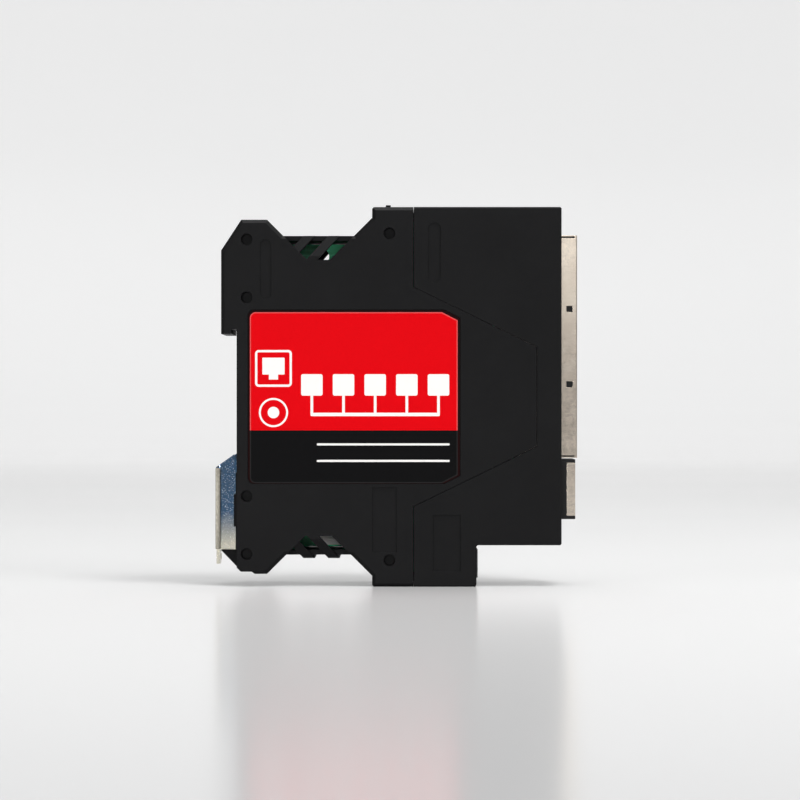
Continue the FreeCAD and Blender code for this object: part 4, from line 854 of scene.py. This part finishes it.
@dataclass(frozen=True)
class SolderMaskedLaminate(Finish):
    """Glass-fibre epoxy board under a green solder mask.

    The mask is glossy and thins over the copper, so tracks show as lighter lines. Both greens
    are painted lighter than a real mask, as painted light for the dim inside of the housing.
    Plated vias are small bright dots, and the sawn edge shows the pale, fibrous laminate. One
    bare patch of white ink is screened on for marking.
    """

    name: str = "masked_laminate"
    # mask and over_copper are painted lighter than real solder mask, as painted light for the dim inside
    mask: str = "#14C482"
    over_copper: str = "#38D49A"
    laminate: str = "#75864F"
    fibre: str = "#5E7A48"
    fibre_mm: float = 0.12
    tin: str = "#C9C8BE"
    track_mm: float = 1.3
    copper_mm: float = 6.0
    copper_share: float = 0.46
    via_mm: float = 3.4
    via_radius: float = 0.09
    relief_mm: float = 0.04
    edge_mm: float = 0.06
    ink: str = "#EDEDE8"
    patch_x: tuple[float, float] = (20.4, 27.4)
    patch_z: tuple[float, float] = (-39.4, -35.8)

    def inputs(self, tree: bpy.types.NodeTree) -> dict[str, object]:
        """Works out the masked faces with their copper, holes and ink, and the sawn edge.

        Args:
            tree: the material's node tree.

        Returns:
            What the shader's sockets take.
        """
        flat = self.flat(tree)
        tracks, vias = self.tracks(tree), self.vias(tree)
        greens = {"Factor": tracks, "A": self.mask, "B": self.over_copper}
        copper = add(tree, "Mix", greens, data_type="RGBA")
        pierced = add(tree, "Mix", {"Factor": vias, "A": copper, "B": self.tin}, data_type="RGBA")
        inked = self.patch(tree)
        face = add(tree, "Mix", {"Factor": inked, "A": pierced, "B": self.ink}, data_type="RGBA")
        strands = add(tree, "MapRange", from_noise(noise(tree, self.fibre_mm, detail=1.0)))
        sawn = add(tree, "Mix", {"Factor": strands, "A": self.laminate, "B": self.fibre}, data_type="RGBA")
        raised = add(tree, "Math", {0: tracks, 1: vias}, operation="MAXIMUM")
        height = add(tree, "Math", {0: raised, 1: flat}, operation="MULTIPLY")
        edge = add(tree, "Bevel", {"Radius": self.edge_mm * MM}, samples=EDGE_SAMPLES)
        depth = self.relief_mm * MM
        skin = add(tree, "Bump", {"Height": height, "Distance": depth, "Strength": 0.5, "Normal": edge})
        return {
            "Base Color": add(tree, "Mix", {"Factor": flat, "A": sawn, "B": face}, data_type="RGBA"),
            "Roughness": add(tree, "Mix", {"Factor": flat, "A": 0.75, "B": 0.3}, data_type="FLOAT"),
            "IOR": 1.55,
            "Metallic": add(tree, "Math", {0: vias, 1: flat}, operation="MULTIPLY"),
            "Normal": skin,
        }

    def flat(self, tree: bpy.types.NodeTree) -> bpy.types.Node:
        """Tells the two printed faces from the sawn edge, by the way that they face.

        Args:
            tree: the material's node tree.

        Returns:
            The node that gives one on a face and zero on the edge.
        """
        normal = add(tree, "TexCoord").outputs["Normal"]
        facing = add(tree, "SeparateXYZ", {"Vector": normal}).outputs["Y"]
        size = add(tree, "Math", {0: facing}, operation="ABSOLUTE")
        return add(tree, "Math", {0: size, 1: 0.5}, operation="GREATER_THAN")

    def patch(self, tree: bpy.types.NodeTree) -> bpy.types.Node:
        """Draws the patch of white ink: one test on X times one on Z.

        Args:
            tree: the material's node tree.

        Returns:
            The node that gives one inside the patch and zero outside it.
        """
        tests = []
        for axis, (low, high) in (("X", self.patch_x), ("Z", self.patch_z)):
            off = add(tree, "Math", {0: along(tree, axis), 1: (low + high) / 2 * MM}, operation="SUBTRACT")
            size = add(tree, "Math", {0: off}, operation="ABSOLUTE")
            tests.append(add(tree, "Math", {0: size, 1: (high - low) / 2 * MM}, operation="LESS_THAN"))
        return add(tree, "Math", dict(enumerate(tests)), operation="MULTIPLY")

    def tracks(self, tree: bpy.types.NodeTree) -> bpy.types.Node:
        """Draws the copper tracks: staggered runs, a third of their spacing wide, in patches.

        Args:
            tree: the material's node tree.

        Returns:
            The node that gives one on a track and zero off it.
        """
        place = add(tree, "TexCoord").outputs["Object"]
        turned = add(tree, "Mapping", {"Vector": place, "Rotation": (math.pi / 2, 0.0, 0.0)})
        grid = add(tree, "TexBrick", {
            "Vector": turned,
            "Scale": per_metre(self.track_mm),
            "Mortar Size": 0.16,
            "Mortar Smooth": 0.1,
            "Brick Width": 4.5,
            "Row Height": 1.0,
        }, offset=0.37)
        cloud = noise(tree, self.copper_mm, detail=1.0)
        patches = add(tree, "Math", {0: cloud, 1: self.copper_share}, operation="GREATER_THAN")
        return add(tree, "Math", {0: grid.outputs["Fac"], 1: patches}, operation="MULTIPLY")

    def vias(self, tree: bpy.types.NodeTree) -> bpy.types.Node:
        """Draws round plated holes, where the nearest random point is under via_radius spacings away.

        Args:
            tree: the material's node tree.

        Returns:
            The node that gives one on a hole and zero off it.
        """
        place = add(tree, "TexCoord").outputs["Object"]
        flattened = add(tree, "Mapping", {"Vector": place, "Scale": (1.0, 0.0, 1.0)})
        points = {"Vector": flattened, "Scale": per_metre(self.via_mm), "Randomness": 0.8}
        gap = add(tree, "TexVoronoi", points, voronoi_dimensions="3D")
        return add(tree, "Math", {0: gap, 1: self.via_radius}, operation="LESS_THAN")


@dataclass(frozen=True)
class WhiteAcrylic(Finish):
    """White acrylic board of the cove, polished and slightly hazy.

    It has painted shade towards the camera, so that the floor doesn't outshine the part, and
    a painted glow at the back, where it gives off light of its own. Each change runs over the
    given metres of Y.
    """

    name: str = "white_acrylic"
    white: str = "#CECECE"
    off_white: str = "#CACACA"
    # colour of the painted shade towards the camera
    shade: str = "#7C7C7E"
    painted_shade_y: tuple[float, float] = (0.0, -1.1)
    painted_glow_y: tuple[float, float] = (0.2, 2.2)
    painted_glow: float = 0.55
    haze_mm: float = 220.0
    polish: tuple[float, float] = (0.17, 0.2)

    def inputs(self, tree: bpy.types.NodeTree) -> dict[str, object]:
        """Works out the painted shade in front, the painted glow at the back and the polish.

        Args:
            tree: the material's node tree.

        Returns:
            What the shader's sockets take.
        """
        haze = noise(tree, self.haze_mm, detail=1.0)
        cloud = add(tree, "MapRange", from_noise(haze, 0.0, 0.3))
        white = add(tree, "Mix", {"Factor": cloud, "A": self.white, "B": self.off_white}, data_type="RGBA")
        # painted shade: the cove greys towards the camera
        start, end = self.painted_shade_y
        reach = {"Value": along(tree, "Y"), "From Min": start, "From Max": end}
        near = add(tree, "MapRange", reach, interpolation_type="SMOOTHSTEP")
        # painted glow: the back of the cove gives off light of its own
        start, end = self.painted_glow_y
        reach = {"Value": along(tree, "Y"), "From Min": start, "From Max": end, "To Max": self.painted_glow}
        return {
            "Base Color": add(tree, "Mix", {"Factor": near, "A": white, "B": self.shade}, data_type="RGBA"),
            "Roughness": 0.8,
            "Specular IOR Level": 0.1,
            "Emission Color": "#FFFFFF",
            "Emission Strength": add(tree, "MapRange", reach, interpolation_type="SMOOTHSTEP"),
            "Coat Weight": 0.74,
            "Coat Roughness": add(tree, "MapRange", from_noise(haze, *self.polish)),
        }


# Meshes

def grid_faces(rows: int, columns: int, wrap_rows: bool, wrap_columns: bool) -> np.ndarray:
    """Four corners of each cell of a grid of points, as whole arrays.

    Point (i, j) has the number i * columns + j, and a cell joins (i, j), (i, j+1), (i+1, j+1), (i+1, j).

    Args:
        rows: points along the first parameter.
        columns: points along the second parameter.
        wrap_rows: whether the last row joins the first.
        wrap_columns: whether the last column joins the first.

    Returns:
        An array of four point numbers a cell.
    """
    first, second = np.arange(rows - (not wrap_rows)), np.arange(columns - (not wrap_columns))
    i, j = np.meshgrid(first, second, indexing="ij")
    after_i, after_j = (i + 1) % rows, (j + 1) % columns
    corners = (i * columns + j, i * columns + after_j, after_i * columns + after_j, after_i * columns + j)
    return np.stack([part.ravel() for part in corners], axis=1)


def rounded_bar(
    x_range: tuple[float, float],
    y_range: tuple[float, float],
    z_range: tuple[float, float],
    radius: float,
    corner_steps: int = 4,
) -> tuple[np.ndarray, list]:
    """Upright bar with a round-cornered section and a small round at both ends.

    The section is its centre plus the half size less r, with the signs of the corner, plus r
    times (cos a, sin a), for a over each quarter turn. It is carried up Z and drawn in by
    r (1 - cos b) where it is r (1 - sin b) from an end, for b from 0 to a quarter turn.

    Args:
        x_range: the bar's low and high X in millimetres.
        y_range: its low and high Y.
        z_range: its low and high Z.
        radius: radius of its corners and ends.
        corner_steps: cells in each quarter turn.

    Returns:
        Its points in metres and its faces.
    """
    quarter = np.linspace(0.0, math.pi / 2, corner_steps + 1)
    angle = np.concatenate([quarter + turn * math.pi / 2 for turn in range(4)])
    corner = angle.reshape(4, -1).mean(1)
    sign_x, sign_y = np.sign(np.cos(corner)), np.sign(np.sin(corner))
    half_x, half_y = (x_range[1] - x_range[0]) / 2, (y_range[1] - y_range[0]) / 2
    core_x = np.repeat(sign_x * (half_x - radius), corner_steps + 1)
    core_y = np.repeat(sign_y * (half_y - radius), corner_steps + 1)
    out = np.concatenate([np.sin(quarter), np.cos(quarter)])[:, None]
    lift = radius * np.concatenate([1.0 - np.cos(quarter), np.sin(quarter)])
    lower, upper = lift[:corner_steps + 1], lift[corner_steps + 1:]
    z = np.concatenate([z_range[0] + lower, z_range[1] - radius + upper])
    x = sum(x_range) / 2 + core_x + radius * out * np.cos(angle)
    y = sum(y_range) / 2 + core_y + radius * out * np.sin(angle)
    points = np.stack([x, y, np.broadcast_to(z[:, None], x.shape)], axis=-1) * MM
    rows, columns = x.shape
    faces = grid_faces(rows, columns, False, True).tolist()
    faces.append(list(range(columns))[::-1])
    faces.append(list(range((rows - 1) * columns, rows * columns)))
    return points, faces


def stand(name: str, points: np.ndarray, faces: list, material: bpy.types.Material) -> bpy.types.Object:
    """Makes one smooth piece from points and faces.

    Args:
        name: the piece's name.
        points: its points in metres.
        faces: its faces as point numbers.
        material: its finish.

    Returns:
        The new object.
    """
    mesh = bpy.data.meshes.new(name)
    mesh.from_pydata(points.reshape(-1, 3).tolist(), [], faces)
    mesh.polygons.foreach_set("use_smooth", np.ones(len(mesh.polygons), dtype=bool))
    mesh.materials.append(material)
    mesh.update()
    piece = bpy.data.objects.new(name, mesh)
    bpy.context.scene.collection.objects.link(piece)
    log.info("%s: %d faces", name, len(mesh.polygons))
    return piece


def dress(frame: dict, names: tuple[str, ...], material: bpy.types.Material) -> None:
    """Gives CAD nodes their finish.

    Args:
        names: the nodes.
        material: the finish for all of them.
    """
    for name in names:
        node = frame["nodes"][name]
        if not node.material_slots:
            node.data.materials.append(material)
        for slot in node.material_slots:
            slot.material = material
        log.info("%s: dressed in %s", name, material.name)


# Sub-assemblies

@dataclass
class MouldedHousing:
    """Two shells and the hood over them, all of the same black polyamide."""

    frame: dict
    shells: MouldedPolyamide = field(default_factory=MouldedPolyamide)
    hood: MouldedPolyamide = field(default_factory=lambda: MouldedPolyamide("hood_polyamide", seam_mm=None))

    def build(self) -> None:
        """Dresses the three mouldings."""
        dress(self.frame, ("near_shell", "far_shell"), self.shells.build())
        dress(self.frame, ("front_hood",), self.hood.build())


@dataclass
class SideLabel:
    """Printed film in the near shell's recess, with plain signs for a jack and a five-port line."""

    frame: dict
    node: str = "side_label"
    band_above_middle: float = -8.75
    ports: int = 5
    port_side: float = 5.6
    port_rim: float = 0.8
    port_pitch: float = 8.25
    first_port_x: float = 19.6
    port_z: float = 3.1
    line_z: float = -4.6
    line_width: float = 0.9
    stem_width: float = 0.7
    jack_x: float = 9.6
    jack_z: float = 7.4
    ring_z: float = -4.1
    rule_x: float = 38.2
    rule_z: tuple[float, ...] = (-12.4, -16.7)
    rule_length: float = 34.6

    def build(self) -> None:
        """Works the print out and dresses the film."""
        marks = tuple(self.line_sign() + self.jack_sign() + self.rules())
        film = PrintedFilm(marks, self.band_above_middle)
        dress(self.frame, (self.node,), film.build())

    def line_sign(self) -> list[PrintMark]:
        """Lays out five ports in outline, each joined by a stem to one line below them.

        Returns:
            The shapes of the sign.
        """
        marks = []
        side = self.port_side
        stem = self.port_z - side / 2 - self.line_z
        for index in range(self.ports):
            x = self.first_port_x + index * self.port_pitch
            marks.append(PrintMark(x, self.port_z, side, side, 0.5, PrintShape.OUTLINE, self.port_rim))
            marks.append(PrintMark(x, self.port_z - side * 0.22, side * 0.42, side * 0.3, 0.1))
            marks.append(PrintMark(x, self.line_z + stem / 2, self.stem_width, stem))
        reach = (self.ports - 1) * self.port_pitch
        length = reach + self.stem_width
        marks.append(PrintMark(self.first_port_x + reach / 2, self.line_z, length, self.line_width, 0.3))
        return marks

    def jack_sign(self) -> list[PrintMark]:
        """Lays out a jack in outline and, under it, a ring round a dot.

        Returns:
            The shapes of both.
        """
        return [
            PrintMark(self.jack_x, self.jack_z, 9.6, 9.6, 1.0, PrintShape.OUTLINE, 0.6),
            PrintMark(self.jack_x, self.jack_z + 0.6, 5.8, 4.4, 0.2, PrintShape.OUTLINE, 0.55),
            PrintMark(self.jack_x, self.jack_z - 2.2, 2.4, 1.4, 0.1),
            PrintMark(self.jack_x, self.ring_z, 7.6, 7.6, 3.8, PrintShape.OUTLINE, 0.5),
            PrintMark(self.jack_x, self.ring_z, 3.0, 3.0, 1.5),
        ]

    def rules(self) -> list[PrintMark]:
        """Two plain lines in the black field."""
        return [PrintMark(self.rule_x, z, self.rule_length, 0.55, 0.2) for z in self.rule_z]


@dataclass
class FootCatch:
    """Stamped catch and the coil spring that pushes it up and shortens as the catch is pulled."""

    frame: dict
    spring: str = "catch_spring"
    joint: str = "catch_slide"
    travel_mm: float = 3.5
    strip: ZincPlatedStrip = field(default_factory=ZincPlatedStrip)
    edge_x: tuple[float, float] = (-5.8, -4.55)
    edge_y: tuple[float, float] = (-7.2, -5.9)
    edge_z: tuple[float, float] = (-39.9, -18.7)
    edge_radius: float = 0.15

    def build(self) -> None:
        """Dresses the catch and its spring and adds the two edges of its back plate."""
        dress(self.frame, ("foot_catch",), self.strip.build())
        drawn = PlatedMetal("spring_wire", "#8C8F92", "#6C6F73", 0.25, 0.4)
        dress(self.frame, (self.spring,), drawn.build())
        cut = PlatedMetal("zinc_plated_cut_edge", "#9C988D", "#8B877D", 0.38, 0.5).build()
        for name, side in (("near_plate_edge", 1.0), ("far_plate_edge", -1.0)):
            low, high = sorted(side * y for y in self.edge_y)
            points, faces = rounded_bar(self.edge_x, (low, high), self.edge_z, self.edge_radius)
            piece = stand(name, points, faces, cut)
            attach(piece, "catch")
        self.shorten_spring()

    def shorten_spring(self) -> None:
        """Gives the spring its own copy of its mesh; its shape is left as it is."""
        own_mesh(self.frame["nodes"][self.spring])


@dataclass
class CircuitBoard:
    """Board with the parts it carries."""

    frame: dict

    def build(self) -> None:
        """Dresses the board and its parts."""
        dress(self.frame, ("circuit_board",), SolderMaskedLaminate().build())
        epoxy = MouldedPackage("epoxy_package", "#202123", "#2B2C2E", (0.45, 0.6))
        packages = ["switch_chip", "setup_memory", "voltage_regulator", "input_fuse", "input_diode"]
        packages += ["surge_suppressor", "output_capacitor"]
        packages += [f"port_transformer_{index}" for index in range(1, 6)]
        dress(self.frame, tuple(packages), epoxy.build())
        ferrite = MouldedPackage("pressed_ferrite", "#3B3B3D", "#4A4A4B", (0.6, 0.75), 0.14)
        dress(self.frame, ("power_inductor",), ferrite.build())
        ceramic = MouldedPackage("fired_ceramic", "#8D7458", "#A08866", (0.4, 0.55))
        dress(self.frame, ("ceramic_capacitors", "chip_resistors"), ceramic.build())
        tin = PlatedMetal("tinned_lead", "#D2D2CE", "#B4B5B3", 0.25, 0.4)
        dress(self.frame, ("switch_chip_leads", "clock_crystal"), tin.build())
        dress(self.frame, ("input_capacitor",), CapacitorCan().build())


@dataclass
class ModularJacks:
    """Row of four jacks and the single one, with shields, contacts and lights."""

    frame: dict

    def build(self) -> None:
        """Dresses every part of both jacks."""
        dress(self.frame, ("quad_jack_shield", "single_jack_shield"), NickelSheet().build())
        dress(self.frame, ("quad_jack_body", "single_jack_body"), JackPlastic().build())
        gold = PlatedMetal("gold_plated_contact", "#E2B35C", "#C99642", 0.2, 0.32)
        dress(self.frame, ("quad_jack_contacts", "single_jack_contacts"), gold.build())
        lens = LightLens("green_light_lens", "#B9D8A0")
        dress(self.frame, ("quad_jack_lights", "single_jack_lights"), lens.build())


@dataclass
class PowerInput:
    """Shrouded header in the bay and its pins."""

    frame: dict

    def build(self) -> None:
        """Dresses the header and its pins."""
        shroud = MouldedPackage("header_polyamide", "#18191A", "#222325", (0.38, 0.5))
        dress(self.frame, ("power_header",), shroud.build())
        pins = PlatedMetal("tinned_pin", "#CFCFCA", "#B1B1AE", 0.2, 0.35)
        dress(self.frame, ("power_header_pins",), pins.build())


@dataclass(frozen=True)
class Lamp:
    """Soft lamp: its place and aim in metres, its sides, its watts and its cone in degrees."""

    name: str
    place: tuple[float, float, float]
    sides: tuple[float, float]
    watts: float
    cone: float = 180.0
    aim: tuple[float, float, float] = (0.04, 0.0, 0.0)

    def hang(self) -> None:
        """Adds the lamp, which lights the scene and isn't seen itself."""
        data = bpy.data.lights.new(self.name, "AREA")
        data.shape = "RECTANGLE"
        data.size, data.size_y = self.sides
        data.energy = self.watts
        data.spread = math.radians(self.cone)
        lamp = bpy.data.objects.new(self.name, data)
        lamp.location = self.place
        lamp.rotation_euler = (Vector(self.aim) - Vector(self.place)).to_track_quat("-Z", "Y").to_euler()
        lamp.visible_camera = False
        bpy.context.scene.collection.objects.link(lamp)


@dataclass
class Studio:
    """Pale round cove, soft lamps and the camera that stands square to the labelled side."""

    axis_px: tuple[float, float] = (400.0, 400.0)
    rail_px: tuple[float, float] = (236.6, 396.8)
    px_per_mm: float = 3.838
    distance_mm: float = 700.0
    side_y_mm: float = -11.25
    floor_z: float = -0.0495
    cove_middle: tuple[float, float] = (0.04, 0.3)
    cove_reach: float = 2.3
    cove_rise: float = 2.4
    cove_bend: float = 1.1
    lamps: tuple[Lamp, ...] = (
        Lamp("overhead", (0.1, 0.0, 1.3), (1.1, 0.9), 11.5),
        Lamp("key", (0.42, -0.34, 1.1), (0.4, 0.4), 8.5),
        Lamp("front", (0.32, -1.08, 0.34), (0.6, 0.56), 0.42, 80.0),
        Lamp("low", (-0.36, -1.05, 0.03), (0.3, 0.12), 0.42, 80.0, (0.03, 0.0, -0.03)),
        Lamp("left_side", (-1.2, -0.85, 0.75), (0.7, 0.7), 1.3, 100.0),
        Lamp("right_side", (1.25, -0.85, 0.75), (0.7, 0.7), 2.6, 100.0),
    )

    def build(self) -> None:
        """Adds the cove, the lamps, the surroundings and the camera."""
        self.cove()
        for lamp in self.lamps:
            lamp.hang()
        self.surroundings()
        self.camera()

    def cove(self) -> None:
        """Adds the cove: a floor, a quarter circle and an upright wall carried round its middle.

        At angle a, a point of the profile stands at the middle plus r (cos a, sin a), where r
        is reach - bend + bend sin b and the height bend (1 - cos b), for b over a quarter turn.
        """
        turn = np.linspace(0.0, 2 * math.pi, 96, endpoint=False)
        bend = np.linspace(0.0, math.pi / 2, 24)
        curve = self.cove_reach - self.cove_bend + self.cove_bend * np.sin(bend)
        reach = np.concatenate([curve, [self.cove_reach]])
        height = np.concatenate([self.cove_bend * (1.0 - np.cos(bend)), [self.cove_rise]])
        x = self.cove_middle[0] + np.outer(reach, np.cos(turn))
        y = self.cove_middle[1] + np.outer(reach, np.sin(turn))
        z = self.floor_z + np.repeat(height[:, None], len(turn), axis=1)
        points = np.stack([x, y, z], axis=-1)
        faces = grid_faces(len(reach), len(turn), False, True)[:, ::-1].tolist()
        faces.append(list(range(len(turn))))
        piece = stand("cove", points, faces, WhiteAcrylic().build())

    def surroundings(self) -> None:
        """Sets even, pale surroundings and plain colours."""
        world = bpy.data.worlds.new("surroundings")
        world.use_nodes = True
        world.node_tree.nodes.clear()
        ground = add(world.node_tree, "Background", {"Color": "#F4F4F5", "Strength": 0.16})
        add(world.node_tree, "OutputWorld", {"Surface": ground})
        bpy.context.scene.world = world
        bpy.context.scene.view_settings.view_transform = "Standard"

    def camera(self) -> None:
        """Adds the camera, whose lens gives the photograph's scale at the labelled side's plane."""
        data = bpy.data.cameras.new("camera")
        data.sensor_width = SENSOR_MM
        data.lens = self.px_per_mm * self.distance_mm / PICTURE_SIDE * SENSOR_MM
        data.clip_end = 50.0
        camera = bpy.data.objects.new("camera", data)
        x = (self.axis_px[0] - self.rail_px[0]) / self.px_per_mm
        z = (self.rail_px[1] - self.axis_px[1]) / self.px_per_mm
        camera.location = (x * MM, (self.side_y_mm - self.distance_mm) * MM, z * MM)
        camera.rotation_euler = (math.pi / 2, 0.0, 0.0)
        bpy.context.scene.collection.objects.link(camera)
        bpy.context.scene.camera = camera


def main() -> None:
    """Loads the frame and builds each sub-assembly."""
    logging.basicConfig(level=logging.INFO, format="%(message)s")
    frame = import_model()
    for assembly in (MouldedHousing, SideLabel, FootCatch, CircuitBoard, ModularJacks, PowerInput):
        assembly(frame).build()
    Studio().build()


if __name__ == "__main__":
    main()
